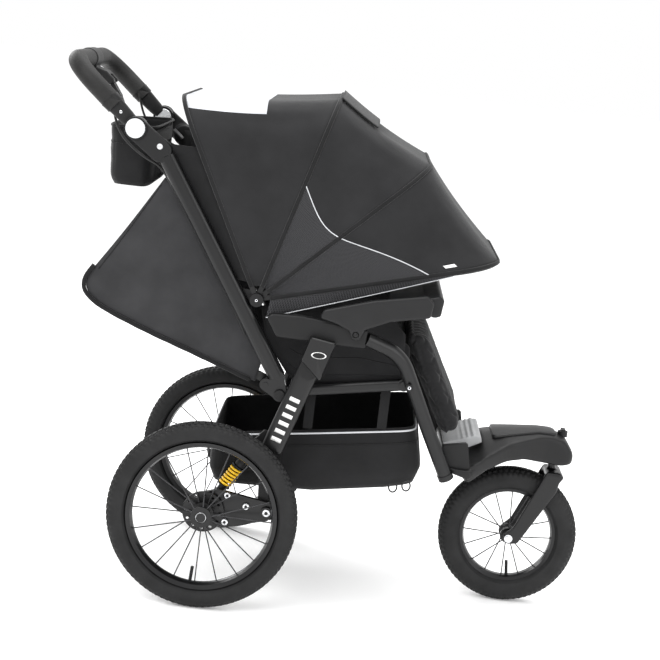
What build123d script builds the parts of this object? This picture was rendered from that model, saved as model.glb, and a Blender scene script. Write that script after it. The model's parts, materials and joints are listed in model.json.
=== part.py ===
from build123d import *
import os
from math import atan2, cos, degrees, hypot, radians, sin

# Three-wheel jogging stroller, in millimetres. X is forward, Y is to the left, Z is up.
# Points are given from the rear axle's X, the middle plane and the ground, then shifted by x_mid.

# ---- wheels ----
wheelbase = 667.0
rear_tyre_r = 200.0
rear_tyre_w = 46.0
rear_track = 570.0
front_tyre_r = 155.0
front_tyre_w = 56.0
tyre_wall = 4.0
axle_r = 6.0
run_clear = 0.05
# ---- frame ----
push_plane = 222.0
push_wide = 36.0
push_thick = 24.0
leg_r = 15.0
leg_plane_top = 257.0
leg_plane_low = 178.0
rear_leg_wide = 34.0
rear_leg_thick = 20.0
rail_in = 190.0
rail_out = 208.0
bolt_head_r = 7.5
# ---- soft goods ----
seat_half = 165.0
backrest_half = 178.0
basket_half = 180.0
cloth = 3.0
# ---- handle and canopy ----
handle_reach = 382.0
handle_r = 11.0
grip_r = 20.0
canopy_half = 235.5
strap_thick = 3.4
strap_wide = 10.0
strap_pitch = 4.0
cloth_lift = 3.2

rear_axle = (0.0, rear_tyre_r)
front_axle = (wheelbase, front_tyre_r)
fold_pivot = (131.0, 462.0)
leg_pivot = (210.0, 600.0)
tray_pivot = (273.0, 616.0)
swing_pivot = (132.0, rear_tyre_r + 12)
recline_pivot = (100.0, 480.0)
handle_pivot = (-220.0, 977.0)
hub_pivot = (62.0, 655.0)
caster_x = wheelbase + 78
nose_shift = wheelbase - 667
tube_low = (121.0, 498.0)
tube_top = (-153.0, 927.0)
shock_low = (25.0, rear_tyre_r + 35)
shock_top = (78.0, rear_tyre_r + 122)
# bow name, direction above +X in degrees, reach from the hub, layer counted inwards
bows = {"bow_rear": (116.2, 434.0, 0), "bow_middle": (74.3, 434.0, 1),
        "bow_front": (43.8, 440.0, 2), "visor_frame": (14.4, 500.0, 3)}
bow_layer = 230.0
bow_corner = 80.0
x_mid = (wheelbase + front_tyre_r - handle_reach) / 2


def rod(at, r, y0, y1):
    """Round bar along Y."""
    return Pos(at[0], (y0 + y1) / 2, at[1]) * Rot(90, 0, 0) * Cylinder(r, y1 - y0)


def slab(points, y0, y1, corner=0):
    """Flat plate of an X-Z outline, from y0 to y1."""
    corners = [(x, y0, z) for x, z in points]
    line = FilletPolyline(*corners, radius=corner, close=True) if corner else Polyline(*corners, close=True)
    return extrude(make_face(line.edges()), amount=y1 - y0, dir=(0, 1, 0))


def bar(a, b, wide, y0, y1):
    """Flat bar with round ends between two X-Z points."""
    dx, dz = b[0] - a[0], b[1] - a[1]
    length = hypot(dx, dz)
    nx, nz = -dz / length * wide / 2, dx / length * wide / 2
    edges = [(a[0] + nx, a[1] + nz), (b[0] + nx, b[1] + nz), (b[0] - nx, b[1] - nz), (a[0] - nx, a[1] - nz)]
    return slab(edges, y0, y1) + rod(a, wide / 2, y0, y1) + rod(b, wide / 2, y0, y1)


def oval_tube(a, b, y, wide, thick):
    """Straight tube of flat-oval section in a plane of constant Y."""
    dx, dz = b[0] - a[0], b[1] - a[1]
    length = hypot(dx, dz)
    end = Plane(origin=(a[0], y, a[1]), x_dir=(-dz, 0, dx), z_dir=(dx, 0, dz))
    return extrude(end * SlotOverall(wide, thick), amount=length)


def round_tube(points, radii, r):
    """Round tube along straight runs joined by tangent arcs."""
    path = FilletPolyline(*points, radius=radii)
    return sweep(Plane(origin=path @ 0, z_dir=path % 0) * Circle(r), path=path)


def turned(points, at, y=0.0):
    """Ring turned about Y from (radius, Y offset) points."""
    face = make_face(Polyline(*[(r, 0, h) for r, h in points], close=True).edges())
    return Pos(at[0], y, at[1]) * Rot(-90, 0, 0) * revolve(face, Axis.Z)


def along(a, b, t):
    return (a[0] + (b[0] - a[0]) * t, a[1] + (b[1] - a[1]) * t)


def polar(at, angle, reach):
    return (at[0] + reach * cos(radians(angle)), at[1] + reach * sin(radians(angle)))


def pair(shape):
    """The shape and its copy on the other side."""
    return Compound(children=[*shape.solids(), *mirror(shape, about=Plane.XZ).solids()])


def group(*shapes):
    return Compound(children=[s for shape in shapes for s in shape.solids()])


def side(shape, sign):
    return shape if sign < 0 else mirror(shape, about=Plane.XZ)


# Every one-sided shape below is made on the right, at negative Y.

# ---- front frame ----
def front_legs():
    run = [(297, -leg_plane_top, 606), (372, -239, 578), (450 + nose_shift * 0.6, -197, 415),
           (497 + nose_shift, -leg_plane_low, 321)]
    return pair(round_tube(run, [95, 120], leg_r))


def leg_end_caps():
    low = Vector(497 + nose_shift, -leg_plane_low, 321)
    run = low - Vector(450 + nose_shift * 0.6, -197, 415)
    cap = Plane(origin=low, z_dir=run) * (Pos(0, 0, 6) * Cylinder(leg_r + 1.5, 12))
    return pair(cap)


def arm_housings():
    shell = slab([(88, 628), (98, 637), (160, 639), (297, 625), (297, 587), (185, 588), (112, 590)],
                 -268, -246.5, 6)
    pivot = rod(leg_pivot, 6, -246.6, -237) + rod(tray_pivot, 6, -285, -267)
    return pair(shell + pivot - front_legs())


def seat_rails():
    leg_side = (386 + nose_shift * 0.2, 508)
    rail = oval_tube((fold_pivot[0], fold_pivot[1]), leg_side, -(rail_in + rail_out) / 2, 26, rail_out - rail_in)
    rail += rod(fold_pivot, 13, -rail_out, -rail_in) + rod(leg_side, 13, -rail_out, -rail_in)
    rail += rod(fold_pivot, axle_r, -236, -rail_in)
    rail += rod(leg_side, 9, -214, -rail_out)
    return pair(rail - front_legs())


def frame_bolts():
    """Bolt heads at the fold pivots and where the seat rails meet the front legs."""
    leg_side = (397 + nose_shift * 0.2, 512)
    return pair(group(rod(fold_pivot, 11, -240, -236), rod(leg_side, bolt_head_r, -246, -240)))


def seat_pad():
    return slab([(134, 478), (134, 487), (378, 600), (400, 583), (398, 530), (386, 516.4)],
                -seat_half, seat_half, 4)


def calf_rest():
    return slab([(387, 605), (399.9, 584.5), (497, 403), (515, 417), (424, 590), (410, 607)],
                -seat_half + 8, seat_half - 8, 3)


def seat_cross_tube():
    return rod((386 + nose_shift * 0.2, 508), 8, -rail_in, rail_in)


basket_outline = [(-8, 352), (-8, 246), (166, 240), (301, 255), (449, 292), (424, 414), (169, 372)]
basket_inner = [(-8 + cloth, 360), (-8 + cloth, 246 + cloth), (166, 240 + cloth), (300, 255 + cloth),
                (445, 294 + cloth), (420, 440), (169, 400)]


def basket():
    outer = slab(basket_outline, -basket_half, basket_half, 5)
    return outer - slab(basket_inner, -basket_half + cloth, basket_half - cloth)


def basket_straps():
    """Webbing from the basket's hem up to the seat rails."""
    straps = []
    for low, high in (((196, 385), (196, 466)), ((352, 402), (352, 494))):
        straps.append(slab([(low[0] - 10, low[1]), (low[0] + 10, low[1]), (high[0] + 10, high[1]),
                            (high[0] - 10, high[1])], -basket_half - 2.2, -basket_half - 0.2))
        straps.append(Pos(high[0], -(basket_half + rail_in) / 2, high[1]) * Box(20, 9.6, 3))
    return pair(straps[0] + straps[1]), pair(straps[2] + straps[3])


def basket_strap_group():
    rear, front = basket_straps()
    return group(rear, front)


nose_profile = [(545, 296), (585, 322), (628, 343), (673, 347), (707, 338), (757, 332), (785, 336),
                (787, 359), (764, 392), (730, 403), (632, 402), (582, 392), (532, 330)]


def nose_console():
    """Moulded console between the leg ends, tapering to the caster head."""
    profile = [(x + nose_shift, z) for x, z in nose_profile]
    body = slab(profile, -158, 158, 6)
    plan = [(525, -158), (560, -158), (640, -88), (720, -48), (775, -42), (790, -26), (790, 26), (775, 42),
            (720, 48), (640, 88), (560, 158), (525, 158)]
    cut = extrude(make_face(FilletPolyline(*[(x + nose_shift, y, 280) for x, y in plan], radius=9,
                                           close=True).edges()), amount=150, dir=(0, 0, 1))
    body = body & cut
    body -= Pos(caster_x, 0, 345) * Cylinder(9 + run_clear, 50)
    body -= nose_panel_solid()
    lug = bar((497 + nose_shift, 334), (548 + nose_shift, 322), 22, -172, -150)
    body += lug + mirror(lug, about=Plane.XZ)
    return body - swivel_lock() - group(front_legs(), leg_end_caps())


def nose_panel_solid():
    plan = [(600, -58), (700, -32), (742, -30), (742, 30), (700, 32), (600, 58)]
    face = make_face(FilletPolyline(*[(x + nose_shift, y, 396) for x, y in plan], radius=9, close=True).edges())
    return extrude(face, amount=10.5, dir=(0, 0, 1)) & slab(
        [(590 + nose_shift, 380), (590 + nose_shift, 405), (632 + nose_shift, 405.5), (730 + nose_shift, 406),
         (766 + nose_shift, 397), (766 + nose_shift, 380)], -70, 70)


def swivel_lock():
    return Pos(caster_x + 14, 0, 398) * Cylinder(11, 12) + Pos(caster_x + 14, 0, 405) * Box(9, 20, 8)


def footrest():
    """Ribbed foot plate, sloping down to the nose."""
    plate = slab([(492, 374), (500, 352), (508, 348), (576, 384), (573, 396), (568, 398)], -150, 150, 2)
    for step in range(6):
        a = along((496, 372), (566, 403), 0.12 + step * 0.15)
        plate += rod((a[0], a[1] - 3), 3.2, -146, 146)
    return Pos(nose_shift, 0, 0) * plate


def leg_brace():
    """Cross tube between the leg ends that carries the footrest and the nose."""
    return rod((500 + nose_shift, 338), 10, -150, 150)


# ---- rear frame ----
def rear_legs():
    foot = (swing_pivot[0] - 5, swing_pivot[1] + 135)
    top = along(leg_pivot, foot, 30 / hypot(leg_pivot[0] - foot[0], leg_pivot[1] - foot[1]))
    lug = bar(leg_pivot, along(leg_pivot, foot, 0.3), rear_leg_wide - 6, -245.5, -239)
    leg = oval_tube(top, foot, -249, rear_leg_wide, rear_leg_thick)
    return pair((leg + lug) - rod(leg_pivot, 6 + run_clear, -246, -238))


def leg_brackets():
    """Plate with a plain badge on the upper part of each rear leg."""
    foot = (swing_pivot[0] - 5, swing_pivot[1] + 135)
    a, b = along(leg_pivot, foot, 0.19), along(leg_pivot, foot, 0.29)
    return pair(bar(a, b, 40, -262.5, -259))


def axle_brackets():
    x, z = swing_pivot
    plate = slab([(x - 24, z + 172), (x + 16, z + 160), (x + 20, z), (x + 12, z - 20), (x - 12, z - 20),
                  (x - 20, z), (x - 26, z + 92), (shock_top[0] - 12, z + 98), (shock_top[0] - 12, z + 122)],
                 -239, -227, 5)
    pins = rod(swing_pivot, 8, -257, -239) + rod(shock_top, 5, -227, -213)
    return pair(plate + pins)


def rear_crossbar():
    return rod(swing_pivot, 11, -227, 227)


def pivot_caps():
    return pair(rod(swing_pivot, 12, -259.5, -257))


# ---- suspension and rear wheels ----
def swing_arm(sign):
    x, z = swing_pivot
    plate = slab([(-20, z - 32), (-26, z - 8), (-12, z + 24), (25, z + 37), (x + 4, z + 20), (x + 19, z + 2),
                  (x + 4, z - 19), (109, z - 26), (40, z - 46)], -252, -241, 7)
    plate -= rod(swing_pivot, 8 + run_clear, -260, -230)
    plate += rod(rear_axle, axle_r, -306, -252) + rod(rear_axle, 13, -255, -252)
    plate += rod(shock_low, 5, -241, -213)
    return side(plate, sign)


def arm_bolts(sign):
    heads = [rod(p, bolt_head_r, -256, -252) for p in ((47, rear_tyre_r + 39), (88, rear_tyre_r + 20),
                                                       (47, rear_tyre_r - 19))]
    return side(group(*heads), sign)


def shock(sign):
    """Damper body with its spring's outer shape."""
    body = bar(shock_low, shock_top, 18, -226, -214)
    body -= rod(shock_low, 5 + run_clear, -230, -210) + rod(shock_top, 5 + run_clear, -230, -210)
    a, b = along(shock_low, shock_top, 0.17), along(shock_low, shock_top, 0.68)
    length = hypot(b[0] - a[0], b[1] - a[1])
    end = Plane(origin=(a[0], -220, a[1]), z_dir=(b[0] - a[0], 0, b[1] - a[1]))
    return side(body + end * (Pos(0, 0, length / 2) * Cylinder(15, length)), sign)


def tyre(at, y, outer_r, wide, bead_r):
    high = outer_r - bead_r + 6
    mid = outer_r - high / 2
    section = Pos(mid, 0) * Ellipse(high / 2, wide / 2)
    hollow = Pos(mid, 0) * Ellipse(high / 2 - tyre_wall, wide / 2 - tyre_wall)
    mouth = Pos(mid - high / 2, 0) * Rectangle(high, wide * 0.5)
    below = Pos(bead_r - 20, 0) * Rectangle(40.6, wide * 1.2)
    ring = revolve(Plane.XZ * (section - hollow - mouth - below), Axis.Z)
    return Pos(at[0], y, at[1]) * Rot(-90, 0, 0) * ring


def rim(at, y, bead_r, wide, deep):
    half = wide / 2
    return turned([(bead_r - deep, -half * 0.35), (bead_r - deep + 3, -half * 0.8), (bead_r - 0.2, -half),
                   (bead_r - 0.2, half), (bead_r - deep + 3, half * 0.8), (bead_r - deep, half * 0.35)], at, y)


def spokes(at, y, hub_r, flange_gap, rim_r, count):
    """Thin straight spokes, alternately from the two hub flanges."""
    wires = []
    for k in range(count):
        lean = 7 if k % 4 < 2 else -7
        shift = flange_gap / 2 if k % 2 else -flange_gap / 2
        start = Vector(0, shift, hub_r + 0.4).rotate(Axis.Y, lean)
        end = Vector(0, shift * 0.12, rim_r - 0.2)
        path = end - start
        wire = Plane(origin=start, z_dir=path) * (Pos(0, 0, path.length / 2) * Cylinder(1.3, path.length))
        wires.append(Pos(at[0], y, at[1]) * Rot(0, 360 / count * k, 0) * wire)
    return group(*wires)


def hub(at, y, inner, outer, flange_r, flange_gap, bore_r):
    """Turned hub with two spoke flanges, from Y inner to Y outer about y."""
    a, b, g = inner - y, outer - y, flange_gap / 2
    return turned([(bore_r, a), (12, a), (13, -g - 3), (flange_r, -g - 3), (flange_r, -g + 3), (13, -g + 5),
                   (13, g - 5), (flange_r, g - 3), (flange_r, g + 3), (13, g + 3), (12, b), (bore_r, b)], at, y)


rear_y = rear_track / 2
rear_bead = rear_tyre_r - 42
front_bead = front_tyre_r - 44


def rear_wheel(sign):
    y = -rear_y
    tag = "right" if sign < 0 else "left"
    disc = turned([(12.9, -2), (43.7, -2), (43.7, 2), (12.9, 2)], rear_axle, -259) - group(
        *[Pos(rear_axle[0], -259, rear_axle[1]) * Rot(0, 30 * k, 0) * Pos(0, 0, 36) * Rot(90, 0, 0)
          * Cylinder(3.2, 12) for k in range(12)])
    cap = turned([(0, -2.2), (10, -2.2), (10, 0), (0, 0)], rear_axle, -306)
    body = hub(rear_axle, y, -306, -256, 22, 34, axle_r + run_clear)
    return {f"rear_tyre_{tag}": side(tyre(rear_axle, y, rear_tyre_r, rear_tyre_w, rear_bead), sign),
            f"rear_rim_{tag}": side(rim(rear_axle, y, rear_bead, 32, 12), sign),
            f"rear_spokes_{tag}": side(spokes(rear_axle, y, 22, 34, rear_bead - 12, 20), sign),
            f"rear_hub_{tag}": side(group(body, cap, disc), sign)}


def front_wheel():
    return {"front_tyre": tyre(front_axle, 0, front_tyre_r, front_tyre_w, front_bead),
            "front_rim": rim(front_axle, 0, front_bead, 34, 14),
            "front_spokes": spokes(front_axle, 0, 17, 36, front_bead - 14, 16),
            "front_hub": hub(front_axle, 0, -31, 31, 17, 36, axle_r + run_clear)}


def fork():
    crown_z = front_tyre_r + 145
    crown = slab([(caster_x - 15, crown_z), (caster_x + 20, crown_z - 4), (caster_x + 27, crown_z + 6),
                  (caster_x + 20, crown_z + 15), (caster_x - 13, crown_z + 16)], -42, 42, 3)
    blade = slab([(caster_x - 14, crown_z + 15), (caster_x + 22, crown_z + 14), (caster_x + 14, crown_z - 30),
                  (front_axle[0] + 22, front_axle[1] - 12), (front_axle[0] - 6, front_axle[1] - 15),
                  (front_axle[0] - 14, front_axle[1] + 4), (front_axle[0] + 8, front_axle[1] + 26)], -42, -33, 8)
    stem = Pos(caster_x, 0, (crown_z + 15 + 368) / 2) * Cylinder(9, 368 - crown_z - 15)
    return crown + blade + mirror(blade, about=Plane.XZ) + stem + rod(front_axle, axle_r, -42, 42)


def fork_bolts():
    return pair(rod(front_axle, 9, -46, -42))


# ---- push frame ----
def push_tubes():
    return pair(oval_tube(tube_low, tube_top, -push_plane, push_wide, push_thick))


def fold_brackets():
    tongue = bar(fold_pivot, tube_low, 30, -232, -212) + bar(fold_pivot, recline_pivot, 26, -232, -212)
    tongue -= oval_tube(tube_low, tube_top, -push_plane, push_wide, push_thick)
    tongue -= rod(fold_pivot, axle_r + run_clear, -240, -200)
    return pair(tongue - rod(recline_pivot, 5 + run_clear, -240, -200))


def handle_housings():
    """Joint housings at the tops of the push tubes, with bores for the handle and its buttons."""
    root = along(tube_top, handle_pivot, 0.18)
    outer = bar(root, handle_pivot, 46, -234, -222)
    inner = bar(root, along(tube_top, handle_pivot, 0.25), 46, -222, -209.7)
    body = outer + inner - oval_tube(tube_low, tube_top, -push_plane, push_wide, push_thick)
    body -= rod(handle_pivot, 10 + run_clear, -226.5, -221)
    return pair(body - rod(handle_pivot, 8 + run_clear, -235, -226))


def housing_screws():
    return pair(rod((-167, 946), 6, -237, -234))


def canopy_hubs():
    x, z = hub_pivot
    lug = slab([(x - 60, z + 22), (x + 2, z + 15), (x + 14, z), (x + 2, z - 15), (x - 50, z - 18)],
               -215.8, -210.2, 5)
    lug -= oval_tube(tube_low, tube_top, -push_plane, push_wide, push_thick)
    lug = max(lug.solids(), key=lambda s: s.center().X)
    return pair(Part() + lug + rod(hub_pivot, axle_r, -233, -215) + rod(hub_pivot, 14, -237, -232.4))


def bow(name):
    """Flat strap bent to a wide U, with an eye at each hub."""
    angle, reach, layer = bows[name]
    y = bow_layer - layer * strap_pitch
    start = polar(hub_pivot, angle, 10)
    top = polar(hub_pivot, angle, reach)
    path = FilletPolyline((start[0], -y, start[1]), (top[0], -y, top[1]), (top[0], y, top[1]),
                          (start[0], y, start[1]), radius=bow_corner)
    section = Plane(origin=path @ 0, x_dir=(0, 1, 0), z_dir=path % 0) * Rectangle(strap_thick, strap_wide)
    strap = sweep(section, path=path)
    eye = rod(hub_pivot, 11, -y - strap_thick / 2, -y + strap_thick / 2)
    strap += eye + mirror(eye, about=Plane.XZ)
    pin = rod(hub_pivot, axle_r + run_clear, -250, -200)
    return strap - pin - mirror(pin, about=Plane.XZ)


def canopy_section(name, at_turn=0.0):
    """U-shaped face of the canopy cloth in the plane of one bow."""
    angle, reach, layer = bows[name]
    angle += at_turn
    outer, inner = canopy_half, canopy_half - cloth
    low = 62.0
    plane = Plane(origin=(hub_pivot[0], 0, hub_pivot[1]), x_dir=(0, 1, 0),
                  z_dir=(sin(radians(angle)), 0, -cos(radians(angle))))
    sign = 1 if plane.y_dir.Z * sin(radians(angle)) + plane.y_dir.X * cos(radians(angle)) > 0 else -1
    high = reach + strap_thick / 2 + cloth_lift
    big = FilletPolyline((-outer, low), (-outer, high + cloth), (outer, high + cloth), (outer, low),
                         radius=bow_corner + 6)
    small = FilletPolyline((inner, low), (inner, high), (-inner, high), (-inner, low), radius=bow_corner + 3)
    wire = big.edges() + small.edges() + [Line((outer, low), (inner, low)), Line((-inner, low), (-outer, low))]
    face = make_face(wire)
    if sign < 0:
        face = mirror(face, about=Plane.XZ)
    return plane * face


def canopy_panel(back, front, back_turn, front_turn):
    return loft([canopy_section(back, back_turn), canopy_section(front, front_turn)], ruled=True)


def pouch():
    """Open-topped bag between the handle joints."""
    outer = slab([(-282, 966), (-192, 972), (-180, 860), (-210, 850), (-262, 856), (-288, 900)], -168, 168, 8)
    inner = slab([(-277, 980), (-197, 980), (-184.5, 862), (-211, 854), (-260, 860), (-283.5, 901)], -164, 164)
    bag = outer - inner
    tab = slab([(-196, 950), (-168, 950), (-160, 932), (-188, 932)], -209.4, -167)
    return bag + tab + mirror(tab, about=Plane.XZ)


# ---- handle ----
handle_back = (-handle_reach + grip_r, 1098.0)


def handlebar():
    y = 214.5
    start = along(handle_pivot, handle_back, 0.17)
    path = FilletPolyline((start[0], -y, start[1]), (handle_back[0], -y, handle_back[1]),
                          (handle_back[0], y, handle_back[1]), (start[0], y, start[1]), radius=70)
    tube = sweep(Plane(origin=path @ 0, z_dir=path % 0) * Circle(handle_r), path=path)
    knuckle = bar(handle_pivot, along(handle_pivot, handle_back, 0.2), 18, -221, -208)
    knuckle += rod(handle_pivot, 23, -221, -208) + rod(handle_pivot, 10, -226, -221)
    return tube + knuckle + mirror(knuckle, about=Plane.XZ)


def handle_grip():
    y = 214.5
    start = along(handle_pivot, handle_back, 0.33)
    path = FilletPolyline((start[0], -y, start[1]), (handle_back[0], -y, handle_back[1]),
                          (handle_back[0], y, handle_back[1]), (start[0], y, start[1]), radius=70)
    end = Plane(origin=path @ 0, z_dir=path % 0)
    foam = sweep(end * Circle(grip_r), path=path) - sweep(end * Circle(handle_r), path=path)
    return foam - Pos(handle_back[0], 0, handle_back[1]) * Box(90, 74, 90)


def lever_pod():
    ring = rod(handle_back, 22, -37, 37) - rod(handle_back, handle_r, -40, 40)
    nose = slab([(-352, 1083), (-322, 1075), (-300, 1056), (-312, 1046), (-348, 1066)], -26, 26, 4)
    slot = slab([(-335, 1066), (-290, 1072), (-290, 1030), (-335, 1030)], -13.5, 13.5)
    slot += rod((-322, 1066), 7, -13.5, 13.5)
    pod = ring + (nose - rod(handle_back, 16, -40, 40)) - slot
    return pod + rod((-322, 1066), 3, -14, 14)


def brake_lever():
    lever = bar((-322, 1066), (-292, 1024), 9, -13, 13)
    return lever - rod((-322, 1066), 3 + run_clear, -14, 14)


def joint_button(sign):
    body = rod(handle_pivot, 20, -240.5, -237.4) + rod(handle_pivot, 8, -237.4, -230)
    return side(body, sign)


def brake_cables():
    """Cable from the pod along the handle's inside to each push tube."""
    route = [(-275, -193.6, 1014), (-256, -198, 970), (-226, -201, 938), (-190, -200.5, 908), (-152, -200, 880),
             (-120, -206.8, 826)]
    return pair(round_tube(route, [38, 52, 70, 46], 2.5))


# ---- backrest and tray ----
def backrest():
    angle = degrees(atan2(641 - recline_pivot[1], -302 - recline_pivot[0]))
    reach = hypot(641 - recline_pivot[1], -302 - recline_pivot[0])
    near, far = polar(recline_pivot, angle, 62), polar(recline_pivot, angle, reach)
    nx, nz = -sin(radians(angle)) * 12, cos(radians(angle)) * 12
    panel = slab([(near[0] + nx, near[1] + nz), (far[0] + nx, far[1] + nz), (far[0] - nx, far[1] - nz),
                  (near[0] - nx, near[1] - nz)], -backrest_half, backrest_half, 5)
    return panel


def backrest_arms():
    angle = degrees(atan2(641 - recline_pivot[1], -302 - recline_pivot[0]))
    arm = bar(recline_pivot, polar(recline_pivot, angle, 200), 18, -187, -backrest_half - 0.3)
    return pair(arm + rod(recline_pivot, 5, -234, -186))


def recline_tent():
    """Cloth sides and back between the push tubes and the reclined backrest."""
    outline = [(-150, 868), (-283, 668), (-305, 640), (-284, 609), (-60, 530), (30, 590)]
    wall = slab(outline, -192, -188, 6)
    sheet = slab([(-158, 856), (-155.5, 854.3), (-275.2, 674.3), (-277.7, 676)], -188, 188)
    hem = slab([(-50, 712), (-14, 702), (-4, 682), (-48, 690)], -209.7, -191.9)
    return wall + mirror(wall, about=Plane.XZ) + sheet + hem + mirror(hem, about=Plane.XZ)


def tray_arms():
    arm = slab([(196, 642), (204, 660), (300, 690), (409, 712), (424, 700), (420, 668), (340, 651), (290, 628),
                (281, 606), (266, 605), (260, 622), (232, 634)], -283, -269, 6)
    return pair(arm - rod(tray_pivot, 6 + run_clear, -290, -260))


def tray():
    """Child's tray with a shallow well, carried between the arms."""
    plate = slab([(335, 660), (330, 672), (400, 700), (436, 710), (446, 702), (442, 668), (428, 664), (400, 676)],
                 -250, 250, 3)
    well = slab([(338, 682), (340, 674), (402, 690), (408, 712)], -200, 200)
    lugs = rod((398, 686), 7, -269, -249)
    return plate - well + lugs + mirror(lugs, about=Plane.XZ)


def tray_strap():
    return Pos(404, 0, 598) * Box(2, 30, 40)


def build_nodes():
    nodes = {
        "front_legs": group(front_legs(), leg_end_caps()), "arm_housings": arm_housings(),
        "seat_rails": seat_rails(), "frame_bolts": frame_bolts(),
        "cross_tubes": group(seat_cross_tube(), leg_brace()),
        "seat_pad": seat_pad(), "calf_rest": calf_rest(), "basket": basket(),
        "basket_straps": basket_strap_group(), "footrest": footrest(),
        "nose_console": nose_console(), "nose_panel": nose_panel_solid(), "swivel_lock": swivel_lock(),
        "rear_legs": rear_legs(), "leg_brackets": leg_brackets(), "axle_brackets": axle_brackets(),
        "rear_crossbar": group(rear_crossbar(), pivot_caps()),
        "fork": fork(), "fork_bolts": fork_bolts(),
        "push_tubes": push_tubes(), "fold_brackets": fold_brackets(), "handle_housings": handle_housings(),
        "housing_screws": housing_screws(), "canopy_hubs": canopy_hubs(), "pouch": pouch(),
        "canopy_rear": canopy_panel("bow_rear", "bow_middle", 0, 0.4),
        "canopy_front": canopy_panel("bow_middle", "bow_front", -0.4, 0.4),
        "canopy_visor": canopy_panel("bow_front", "visor_frame", -0.4, 0),
        "handlebar": handlebar(), "handle_grip": handle_grip(), "lever_pod": lever_pod(),
        "brake_lever": brake_lever(), "brake_cables": brake_cables(),
        "backrest": backrest(), "backrest_arms": backrest_arms(), "recline_tent": recline_tent(),
        "tray_arms": tray_arms(), "tray": tray()}
    for name in bows:
        nodes[name] = bow(name)
    for sign, tag in ((-1, "right"), (1, "left")):
        nodes[f"swing_arm_{tag}"] = group(swing_arm(sign), arm_bolts(sign))
        nodes[f"shock_{tag}"] = shock(sign)
        nodes[f"joint_button_{tag}"] = joint_button(sign)
        nodes.update(rear_wheel(sign))
    nodes.update(front_wheel())
    return nodes


def main():
    os.makedirs("parts", exist_ok=True)
    for name, shape in build_nodes().items():
        export_step(Pos(-x_mid, 0, 0) * shape, f"parts/{name}.step")


if __name__ == "__main__":
    main()
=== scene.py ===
import json
import math

import bmesh
import bpy
from mathutils import Matrix, Vector

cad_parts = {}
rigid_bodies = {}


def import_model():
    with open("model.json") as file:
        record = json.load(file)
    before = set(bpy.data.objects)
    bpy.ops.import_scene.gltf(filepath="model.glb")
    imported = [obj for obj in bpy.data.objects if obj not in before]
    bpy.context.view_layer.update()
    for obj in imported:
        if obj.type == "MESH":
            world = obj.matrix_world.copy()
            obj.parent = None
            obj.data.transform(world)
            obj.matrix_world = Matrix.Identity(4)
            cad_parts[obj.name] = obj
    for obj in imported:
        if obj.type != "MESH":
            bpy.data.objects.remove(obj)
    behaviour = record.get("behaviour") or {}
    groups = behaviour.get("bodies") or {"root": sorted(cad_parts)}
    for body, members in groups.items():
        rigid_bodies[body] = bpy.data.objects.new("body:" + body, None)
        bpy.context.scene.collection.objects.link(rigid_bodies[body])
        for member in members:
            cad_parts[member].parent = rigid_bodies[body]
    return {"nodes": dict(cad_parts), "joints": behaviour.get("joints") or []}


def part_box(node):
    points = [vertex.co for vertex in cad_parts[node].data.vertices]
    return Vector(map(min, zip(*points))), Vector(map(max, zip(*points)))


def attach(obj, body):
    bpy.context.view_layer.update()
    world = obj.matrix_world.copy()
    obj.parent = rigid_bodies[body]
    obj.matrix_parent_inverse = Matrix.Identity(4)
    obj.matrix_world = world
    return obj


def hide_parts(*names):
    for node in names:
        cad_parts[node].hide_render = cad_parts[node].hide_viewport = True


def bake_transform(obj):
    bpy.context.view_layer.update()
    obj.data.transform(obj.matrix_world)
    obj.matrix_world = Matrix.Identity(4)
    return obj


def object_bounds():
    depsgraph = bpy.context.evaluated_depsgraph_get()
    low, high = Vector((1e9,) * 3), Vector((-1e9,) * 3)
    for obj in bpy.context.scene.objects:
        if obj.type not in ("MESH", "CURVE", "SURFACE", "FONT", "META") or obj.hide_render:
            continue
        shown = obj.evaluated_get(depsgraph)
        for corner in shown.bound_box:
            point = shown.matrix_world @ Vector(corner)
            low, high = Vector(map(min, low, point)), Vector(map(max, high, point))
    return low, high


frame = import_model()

bl_info = {
    "name": "Jogging Stroller",
    "version": (1, 0, 0),
    "blender": (4, 5, 0),
    "location": "View3D > Sidebar > Stroller",
    "description": "Dresses the stroller's frame with cloth, tyres, springs, trim and materials",
    "category": "Object",
}

CAD_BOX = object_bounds()
JOINTS = {joint["name"]: joint for joint in frame["joints"]}


# ---- places read from the frame ----
def joint_place(name):
    return Vector(JOINTS[name]["pos_m"])


def middle(node):
    low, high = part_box(node)
    return (Vector(low) + Vector(high)) / 2


HUB = joint_place("canopy_mid_fold")
HANDLE = joint_place("handle_tilt")
SWING = joint_place("suspension_right")
REAR_AXLE = middle("rear_tyre_right")
REAR_AXLE.y = 0
AXLE_X = REAR_AXLE.x


def side_point(x, z, y=0.0):
    """A point given from the rear axle and the ground, in metres."""
    return Vector((AXLE_X + x, y, z))


def bow_tip(node, rear=False):
    """Angle above +X and reach from the hub of a bow's cross piece."""
    low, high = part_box(node)
    dx = (low[0] if rear else high[0]) - HUB.x
    dz = high[2] - HUB.z
    return math.atan2(dz, dx), math.hypot(dx, dz)


BOWS = {"rear": bow_tip("bow_rear", True), "middle": bow_tip("bow_middle"),
        "front": bow_tip("bow_front"), "visor": bow_tip("visor_frame")}


# ---- making ----
def deselect():
    if bpy.context.object and bpy.context.object.mode != "OBJECT":
        bpy.ops.object.mode_set(mode="OBJECT")
    bpy.ops.object.select_all(action="DESELECT")


def pick(obj):
    deselect()
    obj.select_set(True)
    bpy.context.view_layer.objects.active = obj


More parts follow.
